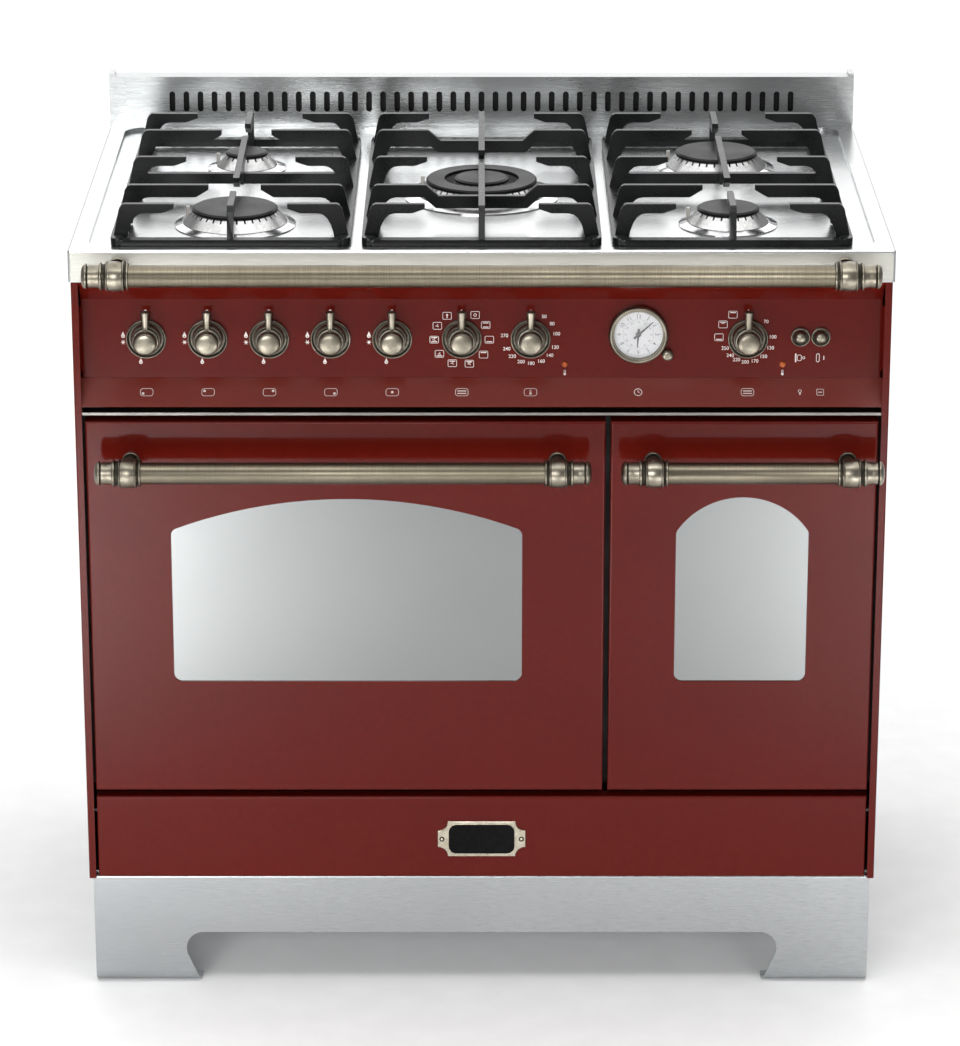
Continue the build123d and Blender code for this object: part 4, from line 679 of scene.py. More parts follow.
class Shape:
    """A mesh in the making, each face in one of the piece's finishes."""

    def __init__(self) -> None:
        """Starts an empty mesh."""
        self.mesh = bmesh.new()

    def corner(self, x: float, y: float, z: float, place: Matrix) -> Corner:
        """Adds one corner, given in millimetres from its place."""
        return self.mesh.verts.new(place @ Vector((x * MM, y * MM, z * MM)))

    def ring(self, outline: Sequence[Flat], height: float, place: Matrix) -> list[Corner]:
        """Adds the corners of an outline at one height."""
        return [self.corner(x, y, height, place) for x, y in outline]

    def face(self, corners: Sequence[Corner], band: int) -> None:
        """Adds one face."""
        made = self.mesh.faces.new(corners)
        made.material_index = band

    def wall(self, below: Sequence[Corner], above: Sequence[Corner], band: int) -> None:
        """Joins two closed rings of as many corners, or a ring and a point.

        Args:
            below: The ring behind.
            above: The ring in front.
            band: The finish.
        """
        steps = max(len(below), len(above))
        for step in range(steps):
            after = (step + 1) % steps
            if len(below) == 1:
                self.face((below[0], above[after], above[step]), band)
            elif len(above) == 1:
                self.face((below[step], below[after], above[0]), band)
            else:
                self.face((below[step], below[after], above[after], above[step]), band)

    def turn(self, profile: Profile, place: Matrix, steps: int = 72,
             ripple: Callable[[float, float], float] | None = None) -> None:
        """Turns a profile about the local Z axis.

        Args:
            profile: The outline, from the back to the front.
            place: Where it goes.
            steps: Corners round the axis.
            ripple: Optional change of the radius, by angle and height.
        """
        rings = []
        for radius, height in profile.points:
            ring = []
            for step in range(steps if radius else 1):
                angle = 2 * math.pi * step / steps
                reach = radius + (ripple(angle, height) if ripple else 0.0)
                ring.append(self.corner(reach * math.cos(angle), reach * math.sin(angle), height, place))
            rings.append(ring)
        for low, high, band in zip(rings, rings[1:], profile.bands):
            self.wall(low, high, band)

    def plate(self, outline: Sequence[Flat], low: float, high: float, place: Matrix, chamfer: float,
              band: int = 0) -> None:
        """Raises an outline into a plate with a chamfered front edge.

        Args:
            outline: Corners, anticlockwise seen from the front.
            low: Height of the back.
            high: Height of the front.
            place: Where it goes.
            chamfer: Width of the chamfer.
            band: The finish.
        """
        back = self.ring(outline, low, place)
        edge = self.ring(outline, high - chamfer, place)
        front = self.ring(grown(outline, -chamfer), high, place)
        self.wall(back, edge, band)
        self.wall(edge, front, band)
        self.face(front, band)

    def patch(self, outline: Sequence[Flat], place: Matrix) -> None:
        """Prints a filled outline."""
        self.face(self.ring(outline, 0.0, place), 0)

    def border(self, outer: Sequence[Flat], inner: Sequence[Flat], place: Matrix) -> None:
        """Prints the space between two outlines with as many corners."""
        self.wall(self.ring(outer, 0.0, place), self.ring(inner, 0.0, place), 0)

    def bead(self, outline: Sequence[Flat], height: float, radius: float, place: Matrix, band: int) -> None:
        """Lays a round bead along an outline.

        Args:
            outline: Corners of its middle line.
            height: Height of its middle line.
            radius: Its radius.
            place: Where it goes.
            band: The finish.
        """
        rings = [self.ring(grown(outline, out), height + up, place) for out, up in circle(radius, steps=10)]
        for low, high in zip(rings, rings[1:] + rings[:1]):
            self.wall(low, high, band)

    def figures(self, text: str, size: float, place: Matrix) -> None:
        """Prints figures, centred.

        Args:
            text: The figures.
            size: Size of the type.
            place: Where the middle goes.
        """
        weight = 0.006
        curve = bpy.data.curves.new("figures", "FONT")
        curve.body = text
        curve.size = size * MM
        curve.offset = weight * size * MM
        curve.align_x = "CENTER"
        curve.align_y = "CENTER"
        holder = bpy.data.objects.new("figures", curve)
        printed = bpy.data.meshes.new_from_object(holder)
        printed.transform(place)
        self.mesh.from_mesh(printed)
        bpy.data.objects.remove(holder)
        bpy.data.curves.remove(curve)
        bpy.data.meshes.remove(printed)

    def made(self, name: str, finishes: Sequence[Finish]) -> bpy.types.Object:
        """Turns the mesh into an object with rounded faces and sharp corners.

        Args:
            name: The piece's name.
            finishes: One for each band.

        Returns:
            The object.
        """
        sharp = math.radians(38.0)
        data = bpy.data.meshes.new(name)
        self.mesh.to_mesh(data)
        self.mesh.free()
        for finish in finishes:
            data.materials.append(finish.material())
        data.polygons.foreach_set("use_smooth", [True] * len(data.polygons))
        data.set_sharp_from_angle(angle=sharp)
        piece = bpy.data.objects.new(name, data)
        bpy.context.scene.collection.objects.link(piece)
        return piece


class Workshop:
    """The loaded frame, and the calls that put finished pieces on it."""

    def __init__(self, frame: dict) -> None:
        self.nodes: dict[str, bpy.types.Object] = frame["nodes"]
        self.axes = {joint["name"]: Vector(joint["pos_m"]) for joint in frame["joints"] if "pos_m" in joint}

    @staticmethod
    def middle(node: str) -> Vector:
        """The middle of a solid part's box."""
        low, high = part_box(node)
        return (low + high) / 2

    def dress(self, finish: Finish, *names: str) -> None:
        """Gives solid parts a finish.

        Args:
            finish: The finish.
            names: The parts.
        """
        for name in names:
            node = self.nodes[name]
            if not node.material_slots:
                node.data.materials.append(None)
            for slot in node.material_slots:
                slot.material = finish.material()
            LOG.info("%s is finished in %s", name, finish.name)

    def ease(self, width: float, *names: str) -> None:
        """Rounds the sharp edges of solid parts.

        Args:
            width: Width of the rounding.
            names: The parts.
        """
        weld_reach = 0.01
        sharp = math.radians(50.0)
        for name in names:
            weld = self.nodes[name].modifiers.new("weld", "WELD")
            weld.merge_threshold = weld_reach * MM
            bevel = self.nodes[name].modifiers.new("eased_edges", "BEVEL")
            bevel.width = width * MM
            bevel.segments = 2
            bevel.limit_method = "ANGLE"
            bevel.angle_limit = sharp
            bevel.harden_normals = True

    def add(self, shape: Shape, name: str, finishes: Sequence[Finish], body: str, slot: str,
            stands_for: str | None = None) -> None:
        """Puts a made piece on the frame.

        Args:
            shape: Its mesh.
            name: Its name.
            finishes: One for each band.
            body: The body it rides on.
            slot: The material slot it belongs to; not used.
            stands_for: The solid part that it replaces, if any.
        """
        piece = shape.made(name, finishes)
        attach(piece, body)
        if stands_for:
            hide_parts(stands_for)
        LOG.info("%s rides on %s", name, body)


@dataclass
class Assembly(ABC):
    """A sub-assembly of the cooker, made in the workshop."""

    shop: Workshop

    @abstractmethod
    def build(self) -> None:
        """Makes its pieces and dresses its solid parts."""


@dataclass
class Bar(Assembly):
    """A bar between two turned ends, each on a post with a ringed foot."""

    name: str
    body: str
    node: str
    left: float
    right: float
    seat_y: float
    axis_y: float
    axis_z: float
    radius: float = 12.0
    post_inset: float = 37.0
    post_radius: float = 6.5
    foot_radius: float = 10.0
    post_end: float = 8.0
    edge_round: float = 0.35
    post_edge_round: float = 0.3

    def end(self) -> Profile:
        """The turned end, from its domed tip to the bar.

        Returns:
            Its profile.
        """
        dark = Band.DARK
        return Profile([
            (0.0, 0.0), (5.6, 0.3), (9.4, 1.2), (12.1, 2.8), (13.4, 4.9), (13.5, 6.2),
            (11.3, 6.7, dark), (11.3, 7.9, dark), (12.7, 8.3), (12.3, 14.0), (12.7, 20.1),
            (14.9, 20.5), (15.3, 21.7), (14.9, 22.9), (13.0, 23.4, dark), (14.0, 27.0, dark),
            (15.6, 27.2), (16.4, 28.2), (15.6, 29.2), (15.2, 29.6, dark), (15.9, 32.0), (16.4, 35.0),
            (16.45, 37.0), (16.4, 39.0), (15.9, 42.0), (15.2, 44.4), (15.6, 44.8, dark), (16.4, 45.8),
            (15.6, 46.8), (14.0, 47.0, dark), (13.0, 49.2, dark), (14.7, 49.5), (15.1, 50.5), (14.7, 51.4),
            (self.radius, 51.7, dark)])

    def post(self) -> Profile:
        """A post from its foot on the face behind it into the bar.

        Returns:
            Its profile.
        """
        dark, foot, post = Band.DARK, self.foot_radius, self.post_radius
        bar_back = (self.seat_y - self.axis_y) / MM - self.post_end
        return Profile([
            (foot, 0.0), (foot, 2.2), (foot - 0.7, 3.0), (foot - 1.5, 2.4), (post + 0.6, 1.9, dark),
            (post, 3.4, dark), (post, bar_back)])

    def build(self) -> None:
        """Turns the bar and its posts."""
        shape = Shape()
        place = Matrix.Translation((self.left, self.axis_y, self.axis_z)) @ RUNS_RIGHT
        whole = self.end().doubled((self.right - self.left) / MM)
        shape.turn(whole.softened(self.edge_round), place, steps=80)
        post = self.post().softened(self.post_edge_round)
        for x in (self.left + self.post_inset * MM, self.right - self.post_inset * MM):
            shape.turn(post, facing(x, self.seat_y, self.axis_z), steps=48)
        self.shop.add(shape, self.name, (BRONZE, PATINA_AND_SHADE, BAR_BRONZE), self.body, "aged_brass", self.node)


@dataclass
class Knobs(Assembly):
    """The eight knobs with their pegs, the bezels, the two push buttons and the clock's crown."""

    panel_y: float = PANEL_Y
    knobs: dict[str, str] = field(default_factory=lambda: {
        **{knob: f"gas_knob_{knob}" for knob in GAS_KNOBS}, "function": "oven_function_knob",
        "temperature": "oven_temperature_knob", "small_temperature": "small_oven_knob"})
    buttons: tuple[str, ...] = ("lamp", "spit")
    peg_depth: float = 13.0
    edge_round: float = 0.3
    fine_round: float = 0.2
    flute_depth: float = 0.28
    flutes: int = 24
    fluted: Flat = (1.3, 8.0)

    @staticmethod
    def knob_profile() -> Profile:
        """The knob, from its back to its domed front.

        Returns:
            Its profile.
        """
        dark = Band.DARK
        return Profile([
            (4.0, 2.0), (15.5, 2.0, dark), (16.0, 2.5), (16.0, 8.2), (15.6, 8.9), (14.7, 9.3, dark),
            (14.3, 11.2, dark), (14.7, 11.6), (14.7, 14.8), (14.2, 15.6), (12.7, 16.0, dark),
            (12.5, 17.0, dark), (13.0, 17.5), (13.0, 22.4), (12.7, 24.2), (11.9, 25.6), (10.3, 26.6),
            (7.8, 27.3), (4.6, 27.8), (0.0, 28.0)])

    @staticmethod
    def peg_profile() -> Profile:
        """The peg, from the hub to its flared tip.

        Returns:
            Its profile.
        """
        return Profile([
            (3.4, 10.0), (3.7, 17.0), (4.1, 23.0), (4.6, 29.0), (5.0, 32.6), (4.95, 33.7), (4.3, 34.3),
            (2.4, 34.5), (0.0, 34.5)])

    @staticmethod
    def button_profile() -> Profile:
        """A push button, from its back to its domed front.

        Returns:
            Its profile.
        """
        return Profile([
            (2.0, 3.4), (5.8, 3.4, Band.DARK), (6.2, 3.8), (6.2, 5.7), (5.9, 7.1), (5.0, 8.3), (3.4, 9.1),
            (1.7, 9.45), (0.0, 9.5)])

    @staticmethod
    def crown_profile() -> Profile:
        """The clock's crown, from its back to its domed front.

        Returns:
            Its profile.
        """
        dark = Band.DARK
        return Profile([
            (3.0, 0.4), (5.0, 0.4, dark), (5.6, 1.0), (5.95, 1.6), (5.95, 7.6), (5.7, 8.2), (5.2, 8.4, dark),
            (5.3, 9.2), (4.8, 10.2), (3.2, 10.8), (0.0, 11.0)])

    @staticmethod
    def bezel_profile(radius: float, bore: float, rim: float) -> Profile:
        """A dished ring.

        Args:
            radius: Its outer radius.
            bore: Its bore's radius.
            rim: Height of its rim.

        Returns:
            Its profile.
        """
        dark = Band.DARK
        return Profile([
            (radius, 0.0), (radius, rim - 0.9), (radius - 0.3, rim - 0.2), (radius - 0.8, rim),
            (radius - 1.3, rim - 0.3), (radius - 1.7, rim - 1.1, dark), (radius - 2.9, 1.7, dark),
            (bore, 1.4, dark), (bore, 0.2, dark)])

    def flute(self, angle: float, height: float) -> float:
        """How far the flutes round the crown cut in at an angle and a height.

        Args:
            angle: Angle round the crown, in radians.
            height: Height on the crown.

        Returns:
            The change of its radius.
        """
        start, end = self.fluted
        if not start < height < end:
            return 0.0
        return -self.flute_depth * (0.5 + 0.5 * math.cos(self.flutes * angle))

    def build(self) -> None:
        """Turns every control."""
        finishes, slot = (BRONZE, DISH), "aged_brass"
        bezels = Shape()
        for name, node in self.knobs.items():
            axis = self.shop.axes[f"{name}_turn"]
            place = facing(axis.x, self.panel_y, axis.z)
            knob = Shape()
            knob.turn(self.knob_profile().softened(self.edge_round), place)
            peg = shifted(place, 0.0, 0.0, self.peg_depth) @ POINTS_UP
            knob.turn(self.peg_profile().softened(self.edge_round), peg, steps=36)
            self.shop.add(knob, f"{node}_turned", finishes, f"{name}_knob", slot, node)
            ring = self.bezel_profile(radius=22.0, bore=16.9, rim=5.2)
            bezels.turn(ring.softened(self.fine_round), place)
        for name in self.buttons:
            node = f"{name}_button"
            middle = self.shop.middle(node)
            place = facing(middle.x, self.panel_y, middle.z)
            button = Shape()
            button.turn(self.button_profile().softened(self.fine_round), place, steps=48)
            self.shop.add(button, f"{node}_turned", finishes, f"{name}_key", slot, node)
            ring = self.bezel_profile(radius=10.6, bore=6.8, rim=4.2)
            bezels.turn(ring.softened(self.fine_round), place, steps=48)
        self.shop.add(bezels, "control_bezel_rings", finishes, "body", slot, "control_bezels")
        axis = self.shop.axes["crown_turn"]
        crown = Shape()
        place = facing(axis.x, self.panel_y, axis.z)
        crown.turn(self.crown_profile().softened(self.fine_round), place, steps=144, ripple=self.flute)
        self.shop.add(crown, "clock_crown_turned", finishes, "crown", slot, "clock_crown")
        self.shop.dress(LENS, "pilot_lamps")


@dataclass
class Clock(Assembly):
    """The clock: its case, dial and figures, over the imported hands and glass."""

    panel_y: float = PANEL_Y
    dial_height: float = 2.0
    edge_round: float = 0.3
    proud: float = 0.06
    hour_size: float = 6.0
    hour_ring: float = 20.4
    late_hour_size: float = 3.0
    late_hour_ring: float = 14.2
    line_ring: float = 17.0
    line_width: float = 0.2
    mark_ring: float = 25.6
    hour_mark: Flat = (0.28, 2.0)
    minute_mark: Flat = (0.14, 1.2)

    def case_profile(self) -> Profile:
        """The case, from its back round its rim to the dial.

        Returns:
            Its profile.
        """
        dark, dial = Band.DARK, self.dial_height
        return Profile([
            (0.0, -28.0), (28.0, -28.0, dark), (28.0, 0.0, dark), (32.6, 0.0), (33.0, 0.6), (33.0, 4.6),
            (32.6, 6.6), (31.7, 8.2), (30.6, 9.0), (29.4, 8.9), (28.7, 8.2), (28.5, 7.5, dark), (28.1, 7.7),
            (27.5, 7.5), (26.9, 6.6, dark), (26.9, dial, dark), (0.0, dial, Band.PLAIN)])

    def build(self) -> None:
        """Turns the case and prints the dial."""
        axis = self.shop.axes["minute_turn"]
        place = facing(axis.x, self.panel_y, axis.z)
        case = Shape()
        case.turn(self.case_profile().softened(self.edge_round), place, steps=96)
        self.shop.add(case, "clock_case", (BRONZE, DISH, DIAL), "body", "aged_brass", "clock_body")
        dial = Shape()
        face = shifted(place, 0.0, 0.0, self.dial_height + self.proud)
        for minute in range(60):
            half, length = self.minute_mark if minute % 5 else self.hour_mark
            mark = square(-half, half, self.mark_ring - length, self.mark_ring)
            dial.patch(mark, turned(face, 6.0 * minute))
        for hour in range(1, 13):
            ray = turned(face, 30.0 * hour)
            dial.figures(str(hour), self.hour_size, shifted(ray, 0.0, self.hour_ring))
            dial.figures(str(hour % 12 + 12), self.late_hour_size, shifted(ray, 0.0, self.late_hour_ring))
        dial.border(circle(self.line_ring, 72), circle(self.line_ring - self.line_width, 72), face)
        self.shop.add(dial, "clock_figures", (DIAL_INK,), "body", "hand_black")
        self.shop.dress(CLEAR, "clock_glass")
        self.shop.dress(BLACK, "clock_hour_hand", "clock_minute_hand")


class Sign(Enum):
    """What a pictogram in an oven frame shows."""

    TOP = "heat from above"
    BASE = "heat from below"
    FAN = "the fan"
    WIDE = "the wide grill"
    LAMP = "the lamp"
    RING = "the ring heater"


class Ink(Shape):
    """The white print of the panel: a mesh with calls for its signs."""

    LINE = 1.1

    def frame(self, width: float, height: float, corner: float, place: Matrix) -> None:
        """Prints a frame with round corners of some radius."""
        inner = rounded(width - self.LINE, height - self.LINE, corner - self.LINE / 2)
        self.border(rounded(width, height, corner), inner, place)

    def dot(self, place: Matrix, radius: float, at: Flat = (0.0, 0.0), steps: int = 20) -> None:
        """Prints a disc, its middle moved from its place."""
        self.patch(circle(radius, steps, at), place)

    def hoop(self, place: Matrix, outer: float, inner: float, at: Flat = (0.0, 0.0), steps: int = 20) -> None:
        """Prints a ring between two radii, its middle moved from its place."""
        self.border(circle(outer, steps, at), circle(inner, steps, at), place)

    def bar(self, place: Matrix, size: Flat, corner: float, at: Flat = (0.0, 0.0)) -> None:
        """Prints a bar with round corners, its middle moved from its place."""
        self.patch(moved(rounded(*size, corner, steps=2), *at), place)

    def flame(self, size: float, place: Matrix) -> None:
        """Prints a flame with an open middle.

        Args:
            size: Its height.
            place: Where it goes.
        """
        belly, pinch, tip, drop = 0.30 * size, 0.35, 0.42 * size, 0.12 * size
        hole, hole_drop = 0.09 * size, 0.16 * size
        outer, inner = [], []
        for across, up in circle(1.0):
            peak = max(0.0, up) ** 5
            outer.append((belly * across * (1.0 - pinch * peak), belly * up + tip * peak - drop))
            inner.append((hole * across, hole * up - hole_drop))
        self.border(outer, inner, place)

    def spark(self, size: float, place: Matrix) -> None:
        """Prints a star of six rays."""
        tips, hollows = circle(0.5 * size, 12), circle(0.17 * size, 12)
        self.patch([(hollows if step % 2 else tips)[step] for step in range(12)], place)

    def thermometer(self, scale: float, place: Matrix) -> None:
        """Prints a thermometer.

        Args:
            scale: Its size, as a share of the full one.
            place: Where it goes.
        """
        self.dot(place, radius=1.5 * scale, at=(0.0, -1.8 * scale))
        tube = rounded(2.0 * scale, 4.4 * scale, 0.95 * scale)
        bore = rounded(1.0 * scale, 3.2 * scale, 0.45 * scale)
        self.border(tube, bore, shifted(place, 0.0, scale))

    def oven(self, signs: Sequence[Sign], place: Matrix) -> None:
        """Prints an oven frame with what it shows.

        Args:
            signs: What it shows.
            place: Where it goes.
        """
        self.frame(width=10.0, height=8.5, corner=1.5, place=place)
        heater, heater_round, rise = (6.6, 1.1), 0.4, 2.4
        if Sign.TOP in signs or Sign.WIDE in signs:
            self.bar(place, heater, heater_round, at=(0.0, rise))
        if Sign.BASE in signs:
            self.bar(place, heater, heater_round, at=(0.0, -rise))
        if Sign.WIDE in signs:
            self.bar(place, size=(3.4, 0.7), corner=0.3, at=(0.0, 1.0))
        if Sign.FAN in signs:
            blade = [(0.0, 0.0), (0.8, 0.5), (0.9, 1.6), (0.0, 1.9)]
            for degrees in (0.0, -120.0, -240.0):
                self.patch(blade, turned(place, degrees))
        if Sign.RING in signs:
            self.hoop(place, outer=1.9, inner=1.2, steps=24)
        if Sign.LAMP in signs:
            self.dot(place, radius=1.2, at=(0.0, 0.9), steps=16)
            self.bar(place, size=(1.3, 2.2), corner=0.3, at=(0.0, -1.4))


@dataclass
class PanelPrint(Assembly):
    """A lighter red skin on the lower facet of the control panel, its lightness painted light, and the white
    figures and pictograms on the panel.
    """

    panel_y: float = PANEL_Y
    door_y: float = DOOR_Y
    facet_top: float = 0.728
    facet_bottom: float = 0.701
    facet_margin: float = 0.5
    proud: float = 0.12
    figure_size: float = 5.6
    dot_radius: float = 1.5
    dot_reach: float = 31.5
    full_flame_size: float = 7.0
    full_flame: Flat = (-25.6, 3.4)
    spark_size: float = 6.2
    spark_at: Flat = (-25.6, -4.6)
    low_flame_size: float = 6.6
    low_flame: Flat = (-6.6, -26.8)
    pointer: tuple[Flat, ...] = ((-1.0, 30.6), (1.0, 30.6), (0.0, 33.6))
    function_ring: float = 30.5
    main_ring: float = 29.0
    small_ring: float = 27.5
    small_sign_ring: float = 32.0
    lamp_radius: float = 5.5
    lamp_drop: float = 9.5
    button_drop: float = 24.5
    main_scale: dict[str, float] = field(default_factory=lambda: {
        "50": 31, "80": 55, "100": 80, "120": 111, "140": 133, "160": 156, "180": 179, "200": 201, "220": 224,
        "240": 245, "270": 276})
    small_scale: dict[str, float] = field(default_factory=lambda: {
        "70": 46, "100": 87, "130": 114, "150": 140, "170": 163, "200": 185, "220": 206, "240": 224,
        "250": 245})
    functions: tuple[tuple[float, tuple[Sign, ...]], ...] = (
        (29, (Sign.RING,)), (60, (Sign.TOP, Sign.BASE)), (93, (Sign.BASE,)), (128, (Sign.TOP,)),
        (164, (Sign.WIDE, Sign.FAN)), (200, (Sign.TOP, Sign.FAN)), (234, (Sign.BASE, Sign.FAN)),
        (267, (Sign.TOP, Sign.BASE, Sign.FAN)), (298, (Sign.FAN,)), (328, (Sign.LAMP,)))
    small_functions: tuple[tuple[float, tuple[Sign, ...]], ...] = (
        (272, (Sign.BASE,)), (300, (Sign.TOP, Sign.WIDE)), (328, (Sign.TOP,)))
    burner_spots: tuple[Flat, ...] = ((-4.0, -1.6), (-4.0, 1.6), (4.0, 1.6), (4.0, -1.6), (0.0, 0.0))
    ink: Ink = field(default_factory=Ink)

    def on_face(self, point: Vector, drop: float = 0.0) -> Matrix:
        """A place just proud of the upright face, level with a point or some millimetres below it."""
        return facing(point.x, self.panel_y - self.proud * MM, point.z - drop * MM)

    def round_about(self, axis: Vector, angle: float, radius: float) -> Matrix:
        """A place on the face, at an angle in degrees clockwise from the top of a control."""
        turn = math.radians(angle)
        return shifted(self.on_face(axis), radius * math.sin(turn), radius * math.cos(turn))

    def on_facet(self, x: float, proud: float) -> Matrix:
        """A place in the middle of the lower facet, square to it.

        Args:
            x: Place along the panel.
            proud: Height over the facet.

        Returns:
            The place.
        """
        slope = math.atan2(self.panel_y - self.door_y, self.facet_top - self.facet_bottom)
        middle = Vector((x, (self.panel_y + self.door_y) / 2, (self.facet_top + self.facet_bottom) / 2))
        lean = Matrix.Rotation(math.radians(90.0) - slope, 4, "X")
        return shifted(Matrix.Translation(middle) @ lean, 0.0, 0.0, proud)

    def facet_frame(self, x: float) -> Matrix:
        """Prints the frame of a sign on the lower facet.

        Args:
            x: Place along the panel.

        Returns:
            The frame's place.
        """
        place = self.on_facet(x, self.proud)
        self.ink.frame(width=14.5, height=9.5, corner=3.2, place=place)
        return place

    def facet_face(self) -> None:
        """Lays a rougher red skin on the lower facet, lighter than the panel as painted light for the facet's
        upward tilt.
        """
        low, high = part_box("control_panel")
        slant = math.hypot(self.panel_y - self.door_y, self.facet_top - self.facet_bottom)
        width, height = (side / MM - 2 * self.facet_margin for side in (high.x - low.x, slant))
        place = self.on_facet((low.x + high.x) / 2, proud=0.0)
        outline = rounded(width, height, radius=0.4, steps=3)
        face = Shape()
        face.plate(outline, low=-0.3, high=0.06, place=place, chamfer=0.05)
        self.shop.add(face, "facet_face", (LIT_FACET_RED,), "body", "red_enamel")

    def gas_print(self) -> None:
        """Prints round the gas knobs, and the burner signs below them."""
        for knob, spot in zip(GAS_KNOBS, self.burner_spots):
            axis = self.shop.axes[f"{knob}_turn"]
            place = self.on_face(axis)
            self.ink.dot(place, self.dot_radius, at=(0.0, self.dot_reach))
            self.ink.flame(self.full_flame_size, shifted(place, *self.full_flame))
            self.ink.spark(self.spark_size, shifted(place, *self.spark_at))
            self.ink.flame(self.low_flame_size, shifted(place, *self.low_flame))
            self.ink.dot(self.facet_frame(axis.x), self.dot_radius, at=spot)

    def oven_print(self) -> None:
        """Prints round the oven controls, and the signs below them."""
        knobs = ("function", "temperature", "small_temperature")
        function, heat, small = (self.shop.axes[f"{knob}_turn"] for knob in knobs)
        for axis in (function, heat, small):
            self.ink.patch(self.pointer, self.on_face(axis))
        for angle, signs in self.functions:
            self.ink.oven(signs, self.round_about(function, angle, self.function_ring))
        scales = ((heat, self.main_scale, self.main_ring), (small, self.small_scale, self.small_ring))
        for axis, scale, ring in scales:
            for figure, angle in scale.items():
                self.ink.figures(figure, self.figure_size, self.round_about(axis, angle, ring))
        for angle, signs in self.small_functions:
            self.ink.oven(signs, self.round_about(small, angle, self.small_sign_ring))
        for axis in (function, small):
            sign = self.facet_frame(axis.x)
            for rise in (-1.5, 1.5):
                self.ink.bar(sign, size=(10.0, 1.2), corner=0.4, at=(0.0, rise))
        self.ink.thermometer(scale=0.9, place=self.facet_frame(heat.x))

    def clock_print(self) -> None:
        """Prints the clock's sign on the lower facet."""
        half, minute_hand, hour_hand = 0.35, 2.9, 2.2
        sign = self.on_facet(self.shop.axes["minute_turn"].x, self.proud)
        self.ink.hoop(sign, outer=4.6, inner=3.8, steps=32)
        self.ink.patch(square(-half, half, 0.0, minute_hand), sign)
        self.ink.patch(square(0.0, hour_hand, -half, half), sign)

    def lamp_print(self) -> None:
        """Prints a thermometer under each pilot lamp."""
        low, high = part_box("pilot_lamps")
        inset, middle = self.lamp_radius * MM, self.shop.middle("pilot_lamps")
        for x in (low.x + inset, high.x - inset):
            lamp = Vector((x, middle.y, middle.z))
            self.ink.thermometer(scale=0.95, place=self.on_face(lamp, self.lamp_drop))

    def button_print(self) -> None:
        """Prints the signs of the two push buttons, on the face and on the lower facet."""
        ink, lamp, spit = self.ink, self.shop.middle("lamp_button"), self.shop.middle("spit_button")
        face, sign = self.on_face(lamp, self.button_drop), self.on_facet(lamp.x, self.proud)
        ink.bar(face, size=(1.6, 10.0), corner=0.5, at=(-4.6, 0.0))
        ink.border(rounded(5.0, 7.0, 1.6), rounded(3.8, 5.8, 1.1), shifted(face, -0.6, 0.0))
        ink.hoop(face, outer=1.6, inner=1.0, at=(4.2, 0.0))
        ink.hoop(sign, outer=2.0, inner=1.3, at=(0.0, 1.4))
        ink.bar(sign, size=(1.8, 2.4), corner=0.4, at=(0.0, -1.9))
        face, sign = self.on_face(spit, self.button_drop), self.on_facet(spit.x, self.proud)
        ink.border(rounded(4.0, 10.0, 1.9), rounded(2.6, 8.6, 1.25), shifted(face, -2.6, 0.0))
        ink.bar(face, size=(1.0, 4.6), corner=0.3, at=(4.0, 0.0))
        ink.border(rounded(8.0, 8.0, 0.9), rounded(6.9, 6.9, 0.5), sign)
        ink.bar(sign, size=(4.6, 1.0), corner=0.3)

    def build(self) -> None:
        """Lays the facet's face and prints the panel."""
        self.facet_face()
        self.gas_print()
        self.oven_print()
        self.clock_print()
        self.lamp_print()
        self.button_print()
        self.shop.add(self.ink, "panel_print", (INK,), "body", "red_enamel")


@dataclass
class Casing(Assembly):
    """The sheet-metal body, the plinth and everything behind the panels."""

    screw_inset: float = 22.0
    row_inset: float = 30.0
    screw_rows: int = 4
    edge_round: float = 0.2

    @staticmethod
    def screw_profile() -> Profile:
        """The head of a screw, from the sheet to the bottom of its socket, which is darkened as painted
        shade.

        Returns:
            Its profile.
        """
        dark = Band.DARK
        return Profile([
            (4.6, 0.0), (4.6, 0.8), (4.0, 1.8), (2.4, 2.4), (1.5, 2.5), (1.3, 1.5, dark), (0.0, 1.3, dark)])

    def screws(self) -> None:
        """Puts a row of screws down each side of the back panel."""
        low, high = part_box("back_panel")
        inset, first = self.screw_inset * MM, low.z + self.row_inset * MM
        pitch = (high.z - low.z - 2 * self.row_inset * MM) / (self.screw_rows - 1)
        shape = Shape()
        for row in range(self.screw_rows):
            for x in (low.x + inset, high.x - inset):
                place = Matrix.Translation((x, high.y, first + pitch * row)) @ POINTS_UP
                shape.turn(self.screw_profile().softened(self.edge_round), place, steps=24)
        # The sockets take the dark finish as painted shade.
        self.shop.add(shape, "back_panel_screws", (PLATED, PATINA_AND_SHADE), "body", "bare_steel")

    def build(self) -> None:
        """Finishes the body's sheets."""
        self.shop.dress(RED, "side_panels", "control_panel")
        self.shop.dress(PLINTH_STEEL, "plinth")
        # The vent trim's steel is darkened as painted shade of the gap.
        self.shop.dress(SHADED_TRIM_STEEL, "vent_trim")
        # The front frame is blacked as painted shade in the vent gap.
        self.shop.dress(SHADE_BLACK, "front_frame")
        self.shop.dress(ZINC, "back_panel", "base_pan", "drawer_runners", "fan_motor")
        self.shop.dress(PLATED, "adjustable_feet", "hinge_brackets")
        self.shop.dress(COPPER, "gas_manifold")
        self.shop.dress(PLASTIC, "oven_switches")
        self.screws()


